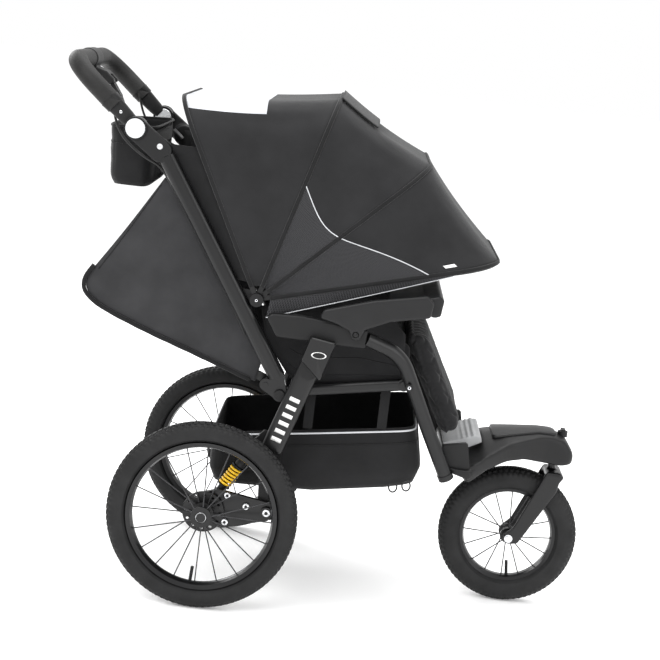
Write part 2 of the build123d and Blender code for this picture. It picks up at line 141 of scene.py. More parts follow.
def mesh_piece(name, points, faces, uvs=None):
    """Mesh object from points and faces, with its UV in metres where given."""
    data = bpy.data.meshes.new(name)
    data.from_pydata([tuple(p) for p in points], [], faces)
    data.update()
    obj = bpy.data.objects.new(name, data)
    bpy.context.scene.collection.objects.link(obj)
    if uvs is not None:
        layer = data.uv_layers.new(name="UVMap")
        for loop in data.loops:
            layer.data[loop.index].uv = uvs[loop.vertex_index]
    for face in data.polygons:
        face.use_smooth = True
    return obj


def grid_piece(name, rows, wrap=False):
    """Sheet through rows of points, all of one length. wrap closes each row."""
    count = len(rows[0])
    points = [p for row in rows for p in row]
    uvs = []
    across = 0.0
    for i, row in enumerate(rows):
        if i:
            across += (Vector(row[count // 2]) - Vector(rows[i - 1][count // 2])).length
        run = 0.0
        for k, p in enumerate(row):
            if k:
                run += (Vector(p) - Vector(row[k - 1])).length
            uvs.append((run, across))
    faces = []
    last = count if wrap else count - 1
    for i in range(len(rows) - 1):
        for k in range(last):
            n = (k + 1) % count
            faces.append((i * count + k, i * count + n, (i + 1) * count + n, (i + 1) * count + k))
    return mesh_piece(name, points, faces, uvs)


def apply_modifiers(obj):
    pick(obj)
    for modifier in list(obj.modifiers):
        bpy.ops.object.modifier_apply(modifier=modifier.name)


def mesh_area(obj):
    return sum(face.area for face in obj.data.polygons)


def thicken(obj, thickness, offset=0.0, levels=0):
    """Gives a sheet its thickness, and one smoothing subdivision where levels is 1."""
    if levels:
        subdivision = obj.modifiers.new("smooth", "SUBSURF")
        subdivision.levels = subdivision.render_levels = levels
    wall = obj.modifiers.new("wall", "SOLIDIFY")
    wall.thickness = thickness
    wall.offset = offset
    wall.use_even_offset = True
    apply_modifiers(obj)
    return obj


def outward(obj):
    """Recalculates the normals to face out."""
    pick(obj)
    bpy.ops.object.mode_set(mode="EDIT")
    bpy.ops.mesh.select_all(action="SELECT")
    bpy.ops.mesh.normals_make_consistent(inside=False)
    bpy.ops.object.mode_set(mode="OBJECT")
    return obj


def tube_piece(name, points, radius, closed=False, sides=4, smooth=True):
    """Round tube along points, as a mesh."""
    curve = bpy.data.curves.new(name, "CURVE")
    curve.dimensions = "3D"
    curve.bevel_depth = radius
    curve.bevel_resolution = sides
    curve.use_fill_caps = True
    spline = curve.splines.new("NURBS" if smooth else "POLY")
    spline.points.add(len(points) - 1)
    for target, p in zip(spline.points, points):
        target.co = (*p, 1)
    if smooth:
        spline.order_u = 3
        spline.use_endpoint_u = not closed
        spline.resolution_u = 4
    spline.use_cyclic_u = closed
    obj = bpy.data.objects.new(name, curve)
    bpy.context.scene.collection.objects.link(obj)
    pick(obj)
    bpy.ops.object.convert(target="MESH")
    obj = bpy.context.object
    obj.data.name = name
    for face in obj.data.polygons:
        face.use_smooth = True
    return obj


def join(name, objects):
    pick(objects[0])
    for other in objects[1:]:
        other.select_set(True)
    bpy.ops.object.join()
    obj = bpy.context.object
    obj.name = name
    obj.data.name = name
    return obj


def lathe(name, profile, at, steps=64):
    """Ring turned about Y from (radius, y) points round a place."""
    rows = []
    for k in range(steps):
        turn = 2 * math.pi * k / steps
        rows.append([Vector((at[0] + r * math.cos(turn), at[1] + y, at[2] + r * math.sin(turn)))
                     for r, y in profile])
    rows.append(rows[0])
    obj = grid_piece(name, rows)
    pick(obj)
    bpy.ops.object.mode_set(mode="EDIT")
    bpy.ops.mesh.select_all(action="SELECT")
    bpy.ops.mesh.remove_doubles(threshold=0.00002)
    bpy.ops.mesh.normals_make_consistent(inside=False)
    bpy.ops.object.mode_set(mode="OBJECT")
    bpy.ops.object.shade_smooth_by_angle(angle=math.radians(35))
    return obj


def softened(node, name, voxel, rounds, swell=0.0):
    """Copy of a CAD node with its edges rounded."""
    source = frame["nodes"][node]
    obj = source.copy()
    obj.data = source.data.copy()
    obj.parent = None
    obj.matrix_world = Matrix.Identity(4)
    obj.name = name
    obj.data.name = name
    for key in list(obj.keys()):
        del obj[key]
    bpy.context.scene.collection.objects.link(obj)
    pick(obj)
    bpy.ops.object.mode_set(mode="EDIT")
    bpy.ops.mesh.select_all(action="SELECT")
    bpy.ops.mesh.remove_doubles(threshold=0.00002)
    bpy.ops.object.mode_set(mode="OBJECT")
    remesh = obj.modifiers.new("remesh", "REMESH")
    remesh.mode = "VOXEL"
    remesh.voxel_size = voxel
    remesh.use_smooth_shade = True
    smooth = obj.modifiers.new("round", "SMOOTH")
    smooth.factor = 0.5
    smooth.iterations = rounds
    apply_modifiers(obj)
    if swell:
        for vertex, normal in zip(obj.data.vertices, [v.normal.copy() for v in obj.data.vertices]):
            vertex.co += normal * swell
    return obj


def inflate(obj, pressure, cap, frames=20):
    """Puffs a pad by cloth simulation, with no point moving further than cap."""
    start = [v.co.copy() for v in obj.data.vertices]
    cloth = obj.modifiers.new("puff", "CLOTH")
    cloth.settings.use_pressure = True
    cloth.settings.uniform_pressure_force = pressure
    cloth.settings.effector_weights.gravity = 0
    cloth.point_cache.frame_start = 1
    cloth.point_cache.frame_end = frames
    scene = bpy.context.scene
    for number in range(1, frames + 1):
        scene.frame_set(number)
    apply_modifiers(obj)
    scene.frame_set(1)
    for vertex, old in zip(obj.data.vertices, start):
        moved = vertex.co - old
        if moved.length > cap:
            vertex.co = old + moved.normalized() * cap
    return obj


# ---- materials ----
def new_material(name):
    material = bpy.data.materials.new(name)
    material.use_nodes = True
    nodes = material.node_tree.nodes
    return material, nodes, material.node_tree.links, nodes["Principled BSDF"]


def add_node(nodes, kind, **values):
    made = nodes.new(kind)
    for key, value in values.items():
        if key in made.inputs:
            made.inputs[key].default_value = value
        else:
            setattr(made, key, value)
    return made


def varied_colour(nodes, links, shader, coords, colour, spread, scale):
    """Slow mottling between two near shades of one colour."""
    noise = add_node(nodes, "ShaderNodeTexNoise", Scale=scale, Detail=4.0)
    ramp = nodes.new("ShaderNodeValToRGB")
    ramp.color_ramp.elements[0].position = 0.3
    ramp.color_ramp.elements[0].color = (*[c * (1 - spread) for c in colour], 1)
    ramp.color_ramp.elements[1].position = 0.7
    ramp.color_ramp.elements[1].color = (*[min(1, c * (1 + spread)) for c in colour], 1)
    links.new(coords, noise.inputs["Vector"])
    links.new(noise.outputs["Fac"], ramp.inputs["Fac"])
    links.new(ramp.outputs["Color"], shader.inputs["Base Color"])
    return ramp


def varied_roughness(nodes, links, shader, coords, rough, spread, scale):
    noise = add_node(nodes, "ShaderNodeTexNoise", Scale=scale, Detail=3.0)
    span = nodes.new("ShaderNodeMapRange")
    span.inputs["To Min"].default_value = max(0.02, rough - spread)
    span.inputs["To Max"].default_value = min(1, rough + spread)
    links.new(coords, noise.inputs["Vector"])
    links.new(noise.outputs["Fac"], span.inputs["Value"])
    links.new(span.outputs["Result"], shader.inputs["Roughness"])


def cloth_finish(name, colour, pitch=0.0011, sheen=0.35, rough=0.8, depth=0.25, on_uv=True, wrinkle=0.35):
    """Woven cloth: crossed threads and slow wrinkles."""
    material, nodes, links, shader = new_material(name)
    place = nodes.new("ShaderNodeTexCoord")
    coords = place.outputs["UV"] if on_uv else place.outputs["Object"]
    varied_colour(nodes, links, shader, place.outputs["Object"], colour, 0.2, 14.0)
    varied_roughness(nodes, links, shader, place.outputs["Object"], rough, 0.08, 30.0)
    shader.inputs["Sheen Weight"].default_value = sheen
    shader.inputs["Sheen Roughness"].default_value = 0.45
    shader.inputs["Specular IOR Level"].default_value = 0.2
    threads = []
    for axis in ("X", "Y"):
        threads.append(add_node(nodes, "ShaderNodeTexWave", bands_direction=axis, Scale=0.314 / pitch,
                                Distortion=0.6, Detail=1.0))
        links.new(coords, threads[-1].inputs["Vector"])
    both = add_node(nodes, "ShaderNodeMath", operation="MAXIMUM")
    links.new(threads[0].outputs["Fac"], both.inputs[0])
    links.new(threads[1].outputs["Fac"], both.inputs[1])
    weave = add_node(nodes, "ShaderNodeBump", Strength=depth, Distance=0.0004)
    links.new(both.outputs["Value"], weave.inputs["Height"])
    folds = add_node(nodes, "ShaderNodeTexNoise", Scale=9.0, Detail=3.0)
    links.new(place.outputs["Object"], folds.inputs["Vector"])
    wrinkles = add_node(nodes, "ShaderNodeBump", Strength=wrinkle, Distance=0.012)
    links.new(folds.outputs["Fac"], wrinkles.inputs["Height"])
    links.new(wrinkles.outputs["Normal"], weave.inputs["Normal"])
    links.new(weave.outputs["Normal"], shader.inputs["Normal"])
    return material


def mesh_finish(name, thread, gap, pitch=0.0042):
    """Open mesh cloth: light threads crossing over darker gaps."""
    material, nodes, links, shader = new_material(name)
    place = nodes.new("ShaderNodeTexCoord")
    turn = nodes.new("ShaderNodeMapping")
    turn.inputs["Rotation"].default_value = (0, 0, math.radians(38))
    links.new(place.outputs["UV"], turn.inputs["Vector"])
    lines = []
    for axis in ("X", "Y"):
        lines.append(add_node(nodes, "ShaderNodeTexWave", bands_direction=axis, Scale=0.314 / pitch,
                              Distortion=0.0))
        links.new(turn.outputs["Vector"], lines[-1].inputs["Vector"])
    both = add_node(nodes, "ShaderNodeMath", operation="MAXIMUM")
    links.new(lines[0].outputs["Fac"], both.inputs[0])
    links.new(lines[1].outputs["Fac"], both.inputs[1])
    ramp = nodes.new("ShaderNodeValToRGB")
    ramp.color_ramp.elements[0].position = 0.62
    ramp.color_ramp.elements[0].color = (*gap, 1)
    ramp.color_ramp.elements[1].position = 0.86
    ramp.color_ramp.elements[1].color = (*thread, 1)
    links.new(both.outputs["Value"], ramp.inputs["Fac"])
    links.new(ramp.outputs["Color"], shader.inputs["Base Color"])
    bump = add_node(nodes, "ShaderNodeBump", Strength=0.7, Distance=0.0006)
    links.new(both.outputs["Value"], bump.inputs["Height"])
    links.new(bump.outputs["Normal"], shader.inputs["Normal"])
    shader.inputs["Roughness"].default_value = 0.75
    shader.inputs["Specular IOR Level"].default_value = 0.2
    return material


def hard_finish(name, colour, rough=0.4, metal=0.0, coat=0.0, grain=0.15, grain_scale=900.0, spread=0.12,
                rough_spread=0.07, shine=0.3):
    """Moulded plastic, paint or metal with fine grain and slight wear in its roughness."""
    material, nodes, links, shader = new_material(name)
    place = nodes.new("ShaderNodeTexCoord")
    coords = place.outputs["Object"]
    varied_colour(nodes, links, shader, coords, colour, spread, 25.0)
    varied_roughness(nodes, links, shader, coords, rough, rough_spread, 40.0)
    shader.inputs["Metallic"].default_value = metal
    shader.inputs["Specular IOR Level"].default_value = shine
    shader.inputs["Coat Weight"].default_value = coat
    shader.inputs["Coat Roughness"].default_value = 0.2
    noise = add_node(nodes, "ShaderNodeTexNoise", Scale=grain_scale, Detail=2.0)
    links.new(coords, noise.inputs["Vector"])
    bump = add_node(nodes, "ShaderNodeBump", Strength=grain, Distance=0.0003)
    links.new(noise.outputs["Fac"], bump.inputs["Height"])
    links.new(bump.outputs["Normal"], shader.inputs["Normal"])
    return material


def leather_finish(name, colour):
    """Grained grip cover."""
    material, nodes, links, shader = new_material(name)
    coords = nodes.new("ShaderNodeTexCoord").outputs["Object"]
    varied_colour(nodes, links, shader, coords, colour, 0.2, 60.0)
    shader.inputs["Roughness"].default_value = 0.55
    shader.inputs["Specular IOR Level"].default_value = 0.25
    cells = add_node(nodes, "ShaderNodeTexVoronoi", Scale=420.0)
    links.new(coords, cells.inputs["Vector"])
    bump = add_node(nodes, "ShaderNodeBump", Strength=0.5, Distance=0.0006)
    links.new(cells.outputs["Distance"], bump.inputs["Height"])
    links.new(bump.outputs["Normal"], shader.inputs["Normal"])
    return material


def tyre_finish(name, colour):
    material, nodes, links, shader = new_material(name)
    coords = nodes.new("ShaderNodeTexCoord").outputs["Object"]
    varied_colour(nodes, links, shader, coords, colour, 0.3, 35.0)
    varied_roughness(nodes, links, shader, coords, 0.62, 0.12, 20.0)
    shader.inputs["Specular IOR Level"].default_value = 0.28
    dust = add_node(nodes, "ShaderNodeTexNoise", Scale=700.0, Detail=2.0)
    links.new(coords, dust.inputs["Vector"])
    bump = add_node(nodes, "ShaderNodeBump", Strength=0.25, Distance=0.0004)
    links.new(dust.outputs["Fac"], bump.inputs["Height"])
    links.new(bump.outputs["Normal"], shader.inputs["Normal"])
    return material


FINISHES = {}


def finish(obj, *names):
    obj.data.materials.clear()
    for name in names:
        obj.data.materials.append(FINISHES[name])
    return obj


def dress(node, name):
    """Gives a carried-over CAD node its material."""
    obj = frame["nodes"][node]
    if not obj.material_slots:
        obj.data.materials.append(FINISHES[name])
    for slot in obj.material_slots:
        slot.material = FINISHES[name]


class StrollerCloth(bpy.types.PropertyGroup):
    colour: bpy.props.FloatVectorProperty(name="Cloth", description="Main cloth colour", subtype="COLOR",
                                          default=(0.014, 0.014, 0.0148), min=0, max=1)
    silver: bpy.props.FloatVectorProperty(name="Roof panel", description="Reflective roof panel colour",
                                          subtype="COLOR", default=(0.46, 0.47, 0.49), min=0, max=1)
    piping: bpy.props.FloatVectorProperty(name="Piping", description="Silver piping colour", subtype="COLOR",
                                          default=(0.55, 0.56, 0.58), min=0, max=1)
    thickness: bpy.props.FloatProperty(name="Cloth thickness", description="Thickness of the sewn cloth",
                                       default=0.0016, unit="LENGTH", min=0.0005, max=0.004)
    sag: bpy.props.FloatProperty(name="Sag", description="How far the canopy dips between its bows",
                                 default=0.007, unit="LENGTH", min=0, max=0.02)


class StrollerFrame(bpy.types.PropertyGroup):
    paint: bpy.props.FloatVectorProperty(name="Frame paint", description="Colour of the frame tubes",
                                         subtype="COLOR", default=(0.0035, 0.0035, 0.0038), min=0, max=1)
    plastic: bpy.props.FloatVectorProperty(name="Plastic", description="Colour of the moulded parts",
                                           subtype="COLOR", default=(0.0045, 0.0045, 0.0048), min=0, max=1)
    spring: bpy.props.FloatVectorProperty(name="Spring", description="Colour of the suspension springs",
                                          subtype="COLOR", default=(0.86, 0.52, 0.01), min=0, max=1)
    coil_turns: bpy.props.IntProperty(name="Coil turns", description="Turns in each suspension spring",
                                      default=6, min=3, max=12)


class StrollerWheels(bpy.types.PropertyGroup):
    rubber: bpy.props.FloatVectorProperty(name="Rubber", description="Tyre colour", subtype="COLOR",
                                          default=(0.0085, 0.0085, 0.0088), min=0, max=1)
    tread: bpy.props.FloatProperty(name="Tread", description="Height of the tread blocks", default=0.0026,
                                   unit="LENGTH", min=0, max=0.004)


def cloth_values():
    return bpy.context.scene.stroller_cloth


# ---- canopy ----
SIDE_HALF = max(abs(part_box("canopy_rear")[0][1]), abs(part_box("canopy_rear")[1][1]))
CORNER = 0.086
CLOTH_LOW = 0.03
CLOTH_LIFT = 0.0035
WINDOW_STEPS = 8


def window_reach(angle):
    """Distance from the hub to the mesh window's edge, in a bow plane at this angle."""
    return 0.208 + 0.000112 * (math.degrees(angle) - 52) ** 2


def canopy_row(angle, reach, half, lift):
    """Points of one U across the canopy, from the right side over the top to the left."""
    top = reach + CLOTH_LIFT + lift
    edge = min(window_reach(angle), top - CORNER - 0.01)
    rail = [CLOTH_LOW + (edge - CLOTH_LOW) * k / WINDOW_STEPS for k in range(WINDOW_STEPS)]
    rail += [edge + (top - CORNER - edge) * k / 10 for k in range(10)]
    profile = [(-half - lift, r) for r in rail]
    for k in range(11):
        turn = math.pi / 2 * k / 10
        profile.append((-half - lift + CORNER - CORNER * math.cos(turn),
                        top - CORNER + CORNER * math.sin(turn)))
    flat = half + lift - CORNER
    profile += [(-flat + 2 * flat * k / 12, top) for k in range(1, 12)]
    profile += [(-y, r) for y, r in reversed(profile[:len(rail) + 11])]
    return [Vector((HUB.x + r * math.cos(angle), y, HUB.z + r * math.sin(angle))) for y, r in profile]


def gore_rows(back, front, steps, sag, lift=0.0, start=0.0, end=1.0):
    (a_angle, a_reach), (b_angle, b_reach) = BOWS[back], BOWS[front]
    a = Vector((math.cos(a_angle), math.sin(a_angle))) * a_reach
    b = Vector((math.cos(b_angle), math.sin(b_angle))) * b_reach
    rows = []
    for k in range(steps + 1):
        s = start + (end - start) * k / steps
        chord = a.lerp(b, s)
        angle = math.atan2(chord.y, chord.x)
        dip = sag * 4 * s * (1 - s)
        row = canopy_row(angle, chord.length - dip, SIDE_HALF, lift)
        for p in row:
            out = min(1, max(0, ((p - HUB).length - 0.12) / 0.2))
            if abs(p.y) > SIDE_HALF - 0.02:
                p.y -= math.copysign(dip * 0.9 * out, p.y)
        rows.append(row)
    return rows


def canopy_gore(name, back, front, bodies, node, silver_to=0.0):
    """One panel of the canopy between two bows, with its mesh window and roof panel."""
    values = cloth_values()
    steps = 24
    rows = gore_rows(back, front, steps, values.sag)
    obj = grid_piece(name, rows)
    count = len(rows[0])
    finish(obj, "cloth", "window", "silver")
    for number, face in enumerate(obj.data.polygons):
        i, k = divmod(number, count - 1)
        in_window = k < WINDOW_STEPS or k >= count - 1 - WINDOW_STEPS
        if in_window and back != "rear":
            face.material_index = 1
        if (i + 0.5) / steps < silver_to and abs(k - (count - 2) / 2) < 11.5:
            face.material_index = 2
    thicken(obj, values.thickness)
    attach(obj, bodies[0])
    release(obj)
    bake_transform(obj)
    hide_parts(node)
    if back != "rear":
        for flip in (1, -1):
            edge = [row[WINDOW_STEPS] if flip > 0 else row[count - 1 - WINDOW_STEPS] for row in rows[::2]]
            line = tube_piece(f"{name}_window_piping_{'right' if flip > 0 else 'left'}",
                              [p + Vector((0, -0.0012 * flip, 0)) for p in edge], 0.0011, sides=2)
            finish(line, "piping")
            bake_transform(line)
    return obj, rows


def release(obj):
    """Drops the parent that attach gave, leaving the piece unparented."""
    if obj.parent is not None:
        obj.parent = None
        obj.matrix_world = Matrix.Identity(4)


def bow_sleeve(bow, body, wide=0.0042, lift=0.0020):
    """Sewn channel over a bow."""
    angle, reach = BOWS[bow]
    rows = []
    for side in (-1, -0.6, 0.6, 1):
        row = canopy_row(angle, reach, SIDE_HALF, lift if abs(side) < 1 else 0.0)
        shift = Vector((-math.sin(angle), 0, math.cos(angle))) * wide * side
        rows.append([p + shift for p in row])
    obj = grid_piece(f"canopy_sleeve_{bow}", rows)
    thicken(obj, 0.0012)
    finish(obj, "cloth_edge")
    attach(obj, body)
    return rows


class STROLLER_OT_canopy(bpy.types.Operator):
    """Canopy cloth on its four bows, with mesh windows, silver roof, vent flap and piping"""
    bl_idname = "stroller.canopy"
    bl_label = "Canopy"

    def execute(self, context):
        canopy_gore("canopy_cloth_rear", "rear", "middle", ("push_frame", "canopy_mid"), "canopy_rear", 0.54)
        canopy_gore("canopy_cloth_front", "middle", "front", ("canopy_mid", "canopy_fore"), "canopy_front")
        _, rows = canopy_gore("canopy_cloth_visor", "front", "visor", ("canopy_fore", "visor"),
                              "canopy_visor")
        for bow, body in (("rear", "push_frame"), ("middle", "canopy_mid"), ("front", "canopy_fore"),
                          ("visor", "visor")):
            bow_sleeve(bow, body)
        hem = tube_piece("visor_edge_piping", [p + Vector((0, 0, -0.002)) for p in rows[-1][4:-4]], 0.0026,
                         sides=3)
        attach(finish(hem, "cloth_edge"), "visor")
        self.valance(rows[-1])
        self.vent_flap()
        self.visor_tag(rows)
        return {"FINISHED"}

    def valance(self, edge):
        """Mesh edging that hangs below the lowest bow on each side, with silver piping along it."""
        for side, tag in ((-1, "right"), (1, "left")):
            line = smooth_run((edge if side < 0 else edge[::-1])[:17], 40)
            drops = []
            for p in line:
                reach = math.hypot(p.x - HUB.x, p.z - HUB.z)
                drops.append(0.044 * max(0.0, 1 - reach / 0.46) ** 0.8)
            rows = []
            for step in range(6):
                t = step / 5
                rows.append([p + Vector((-0.006 * t * (1 - k / 39), -side * 0.004 * t, -drops[k] * t))
                             for k, p in enumerate(line)])
            obj = grid_piece(f"canopy_valance_{tag}", rows)
            thicken(obj, cloth_values().thickness)
            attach(finish(obj, "window"), "visor")
            seam = tube_piece(f"canopy_edge_piping_{tag}", rows[-1], 0.0013, sides=2)
            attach(finish(seam, "piping"), "visor")

    def vent_flap(self):
        """Raised flap over the roof vent, from the middle bow forward."""
        rows = gore_rows("middle", "front", 10, cloth_values().sag, lift=0.006, start=0.0, end=0.42)
        count = len(rows[0])
        core = [row[count // 2 - 7:count // 2 + 8] for row in rows]
        start = rows[0][count // 2].copy()
        end = gore_rows("middle", "front", 1, 0.0)[1][count // 2]
        for row in core:
            for k, p in enumerate(row):
                rise = 0.006 * math.cos((k - 7) / 7 * math.pi / 2)
                p += Vector((math.cos(1.2), 0, math.sin(1.2))) * rise
        obj = grid_piece("roof_vent_flap", core)
        thicken(obj, 0.002, levels=1)
        finish(obj, "cloth_edge")
        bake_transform(obj)

    def visor_tag(self, rows):
        edge = rows[-3]
        place = edge[17] + Vector((0, -0.0015, 0))
        ahead = (edge[17] - edge[15]).normalized()
        up = (rows[-5][17] - rows[-1][17]).normalized()
        across = ahead.cross(up).normalized()
        points = [place + ahead * a + up * b for a, b in ((-0.012, -0.004), (0.012, -0.004), (0.012, 0.004),
                                                          (-0.012, 0.004))]
        tag = mesh_piece("visor_tag", points, [(0, 1, 2, 3)], [(0, 0), (1, 0), (1, 1), (0, 1)])
        tag.data.transform(Matrix.Translation(-across * 0.001))
        thicken(tag, 0.0012)
        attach(finish(tag, "print"), "visor")


# ---- recline tent and seat ----
def smooth_run(points, count):
    """Evenly spaced points on a rounded line through the given ones."""
    curve = bpy.data.curves.new("run", "CURVE")
    curve.dimensions = "3D"
    spline = curve.splines.new("NURBS")
    spline.points.add(len(points) - 1)
    for target, p in zip(spline.points, points):
        target.co = (*p, 1)
    spline.order_u = 3
    spline.use_endpoint_u = True
    spline.resolution_u = 16
    holder = bpy.data.objects.new("run", curve)
    data = bpy.data.meshes.new_from_object(holder)
    line = [v.co.copy() for v in data.vertices]
    bpy.data.objects.remove(holder)
    bpy.data.meshes.remove(data)
    bpy.data.curves.remove(curve)
    lengths = [0.0]
    for a, b in zip(line, line[1:]):
        lengths.append(lengths[-1] + (b - a).length)
    result = []
    at = 0
    for k in range(count):
        want = lengths[-1] * k / (count - 1)
        while at < len(lengths) - 2 and lengths[at + 1] < want:
            at += 1
        span = lengths[at + 1] - lengths[at] or 1
        result.append(line[at].lerp(line[at + 1], min(1, (want - lengths[at]) / span)))
    return result


class STROLLER_OT_recline_tent(bpy.types.Operator):
    """Cloth that closes the reclined seat's sides and back"""
    bl_idname = "stroller.recline_tent"
    bl_label = "Recline tent"

    def execute(self, context):
        outer = smooth_run([side_point(-0.156, 0.878), side_point(-0.215, 0.780), side_point(-0.275, 0.690),
                            side_point(-0.306, 0.646), side_point(-0.284, 0.607), side_point(-0.170, 0.563),
                            side_point(-0.047, 0.521), side_point(0.075, 0.476)], 49)
        inner = smooth_run([side_point(-0.135, 0.868), side_point(-0.060, 0.745), side_point(0.010, 0.640),
                            side_point(0.085, 0.520)], 49)
        rows = []
        for k, (far, near) in enumerate(zip(outer, inner)):
            v = k / 48
            row = []
            ease = math.sin(math.pi * min(1, v * 1.1))
            for i in range(17):
                u = i / 16
                p = near.lerp(far, u)
                pull = 0.009 * math.sin(math.pi * u) * ease
                gather = 0.0016 * math.sin(v * 95) * (u ** 6)
                p.y = -(0.199 - 0.008 * u + pull + gather)
                row.append(p)
            corner = 0.02
            for i in range(1, 6):
                turn = math.pi / 2 * i / 5
                p = far.copy()
                p.y = -(0.191 - corner + corner * math.cos(turn))
                row.append(p)
            right = row + [Vector((far.x, -0.171 + 0.171 * i / 5, far.z)) for i in range(1, 5)]
            centre = [Vector((far.x, 0, far.z))]
            left = [Vector((p.x, -p.y, p.z)) for p in reversed(right)]
            rows.append(right + centre + left)
        obj = grid_piece("recline_tent_cloth", rows)
        thicken(obj, cloth_values().thickness, levels=1)
        finish(obj, "cloth_tent")
        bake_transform(obj)
        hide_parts("recline_tent")
        for tag, index in (("right", 16), ("left", len(rows[0]) - 17)):
            sign = -1 if tag == "right" else 1
            middle_of = side_point(-0.12, 0.68)
            edge = []
            for row in rows[16:48]:
                p = row[index].copy()
                away = Vector((p.x - middle_of.x, 0, p.z - middle_of.z)).normalized()
                edge.append(p + away * 0.004 + Vector((0, 0.0045 * sign, 0)))
            seam = [row[index - 1 if tag == "right" else index + 1] + Vector((0, 0.0012 * sign, 0))
                    for row in rows[1:18]]
            for label, run, radius in (("hem", edge, 0.0046), ("seam", seam, 0.0010)):
                line = tube_piece(f"recline_tent_{label}_{tag}", run, radius, sides=3)
                finish(line, "cloth_edge")
                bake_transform(line)
        self.gussets()
        return {"FINISHED"}

    def gussets(self):
        """Cloth between each push tube and the rear bow."""
        angle = BOWS["rear"][0]
        for side, tag in ((-1, "right"), (1, "left")):
            rows = []
            for k in range(13):
                z = 0.690 + 0.262 * k / 12
                low = Vector((AXLE_X + 0.121 - 0.274 * (z - 0.498) / 0.429, side * 0.2085, z))
                r = (z - HUB.z) / math.sin(angle)
                high = Vector((HUB.x + r * math.cos(angle) - 0.004, side * 0.2275, z))
                rows.append([low.lerp(high, i / 5) + Vector((0, -side * 0.004 * math.sin(math.pi * i / 5), 0))
                             for i in range(6)])
            obj = grid_piece(f"canopy_gusset_{tag}", rows)
            thicken(obj, cloth_values().thickness)
            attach(finish(obj, "cloth_soft"), "push_frame")


def cushion(name, node, bodies, voxel=0.005, cap=0.007, shrink=-0.004):
    """Padded cloth piece in its CAD solid's place."""
    obj = softened(node, name, voxel, 6, shrink)
    inflate(obj, 4.0, cap)
    subdivision = obj.modifiers.new("smooth", "SUBSURF")
    subdivision.levels = subdivision.render_levels = 1
    apply_modifiers(obj)
    finish(obj, "cloth_pad")
    if len(bodies) == 1:
        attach(obj, bodies[0])
    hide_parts(node)
    return obj


def groove(obj, test, depth):
    """Presses stitched lines into a pad: depth where test gives 1."""
    for vertex, normal in zip(obj.data.vertices, [v.normal.copy() for v in obj.data.vertices]):
        vertex.co -= normal * depth * test(vertex.co)


class STROLLER_OT_seat(bpy.types.Operator):
    """Seat pad, calf rest and backrest"""
    bl_idname = "stroller.seat"
    bl_label = "Seat"

    def execute(self, context):
        seat = cushion("seat_cushion", "seat_pad", ["front_frame"], 0.006)
        groove(seat, lambda p: math.exp(-((p.x - middle("seat_pad").x) / 0.004) ** 2), 0.005)
        calf = cushion("calf_cushion", "calf_rest", ["front_frame"], 0.005)
        for vertex, normal in zip(calf.data.vertices, [v.normal.copy() for v in calf.data.vertices]):
            vertex.co += normal * (0.014 if normal.x < -0.3 else 0.007)
        low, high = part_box("calf_rest")
        pitch = (high[1] - low[1]) / 9

        def quilt(p):
            a = (p.y + p.z * 0.8) / pitch
            b = (p.y - p.z * 0.8) / pitch
            return max(math.exp(-((a - round(a)) * 9) ** 2), math.exp(-((b - round(b)) * 9) ** 2))
        groove(calf, quilt, 0.0022)
        back = cushion("backrest_cushion", "backrest", ["backrest"], 0.007, 0.006)
        groove(back, lambda p: math.exp(-((abs(p.y) - 0.11) / 0.004) ** 2), 0.004)
        self.side_panels()
        return {"FINISHED"}

    def side_panels(self):
        """Cloth sides of the seat, from the canopy down to the rails."""
        top = smooth_run([side_point(0.070, 0.637), side_point(0.200, 0.672), side_point(0.305, 0.692),
                          side_point(0.324, 0.664), side_point(0.352, 0.640), side_point(0.378, 0.612)], 33)
        low = smooth_run([side_point(0.085, 0.575), side_point(0.124, 0.518), side_point(0.152, 0.486),
                          side_point(0.209, 0.479), side_point(0.300, 0.493), side_point(0.385, 0.511)], 33)
        for side, tag in ((-1, "right"), (1, "left")):
            rows = []
            for a, b in zip(top, low):
                row = []
                for i in range(17):
                    t = i / 16
                    p = a.lerp(b, t)
                    p.y = side * (0.1882 + 0.0006 * math.sin(math.pi * t) + 0.0004 * math.sin(p.x * 90 + t * 9))
                    row.append(p)
                rows.append(row)
            obj = grid_piece(f"seat_side_{tag}", rows)
            thicken(obj, 0.0010)
            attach(finish(obj, "cloth_pad"), "front_frame")
            for number, at in enumerate((11, 14)):
                line = tube_piece(f"seat_side_seam_{number}_{tag}",
                                  [row[at] + Vector((0, side * 0.0006, 0)) for row in rows[8:]], 0.0011,
                                  sides=2)
                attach(finish(line, "cloth_edge"), "front_frame")


# ---- bags ----
def ring(x0, x1, half, z_of, bulge=0.0, count=72, corner=0.22):
    """Rounded-rectangle ring of points seen from above."""
    points = []
    for k in range(count):
        turn = 2 * math.pi * k / count
        c, s = math.cos(turn), math.sin(turn)
        x = math.copysign(abs(c) ** corner, c)
        y = math.copysign(abs(s) ** corner, s)
        px = (x0 + x1) / 2 + (x1 - x0) / 2 * x
        py = half * y
        swell = bulge * (1 - min(1, abs(y)) ** 4) if abs(x) > 0.98 else 0
        swell_y = bulge * (1 - min(1, abs(x)) ** 4) if abs(y) > 0.98 else 0
        points.append(Vector((px + math.copysign(swell, x), py + math.copysign(swell_y, y), z_of(px))))
    return points


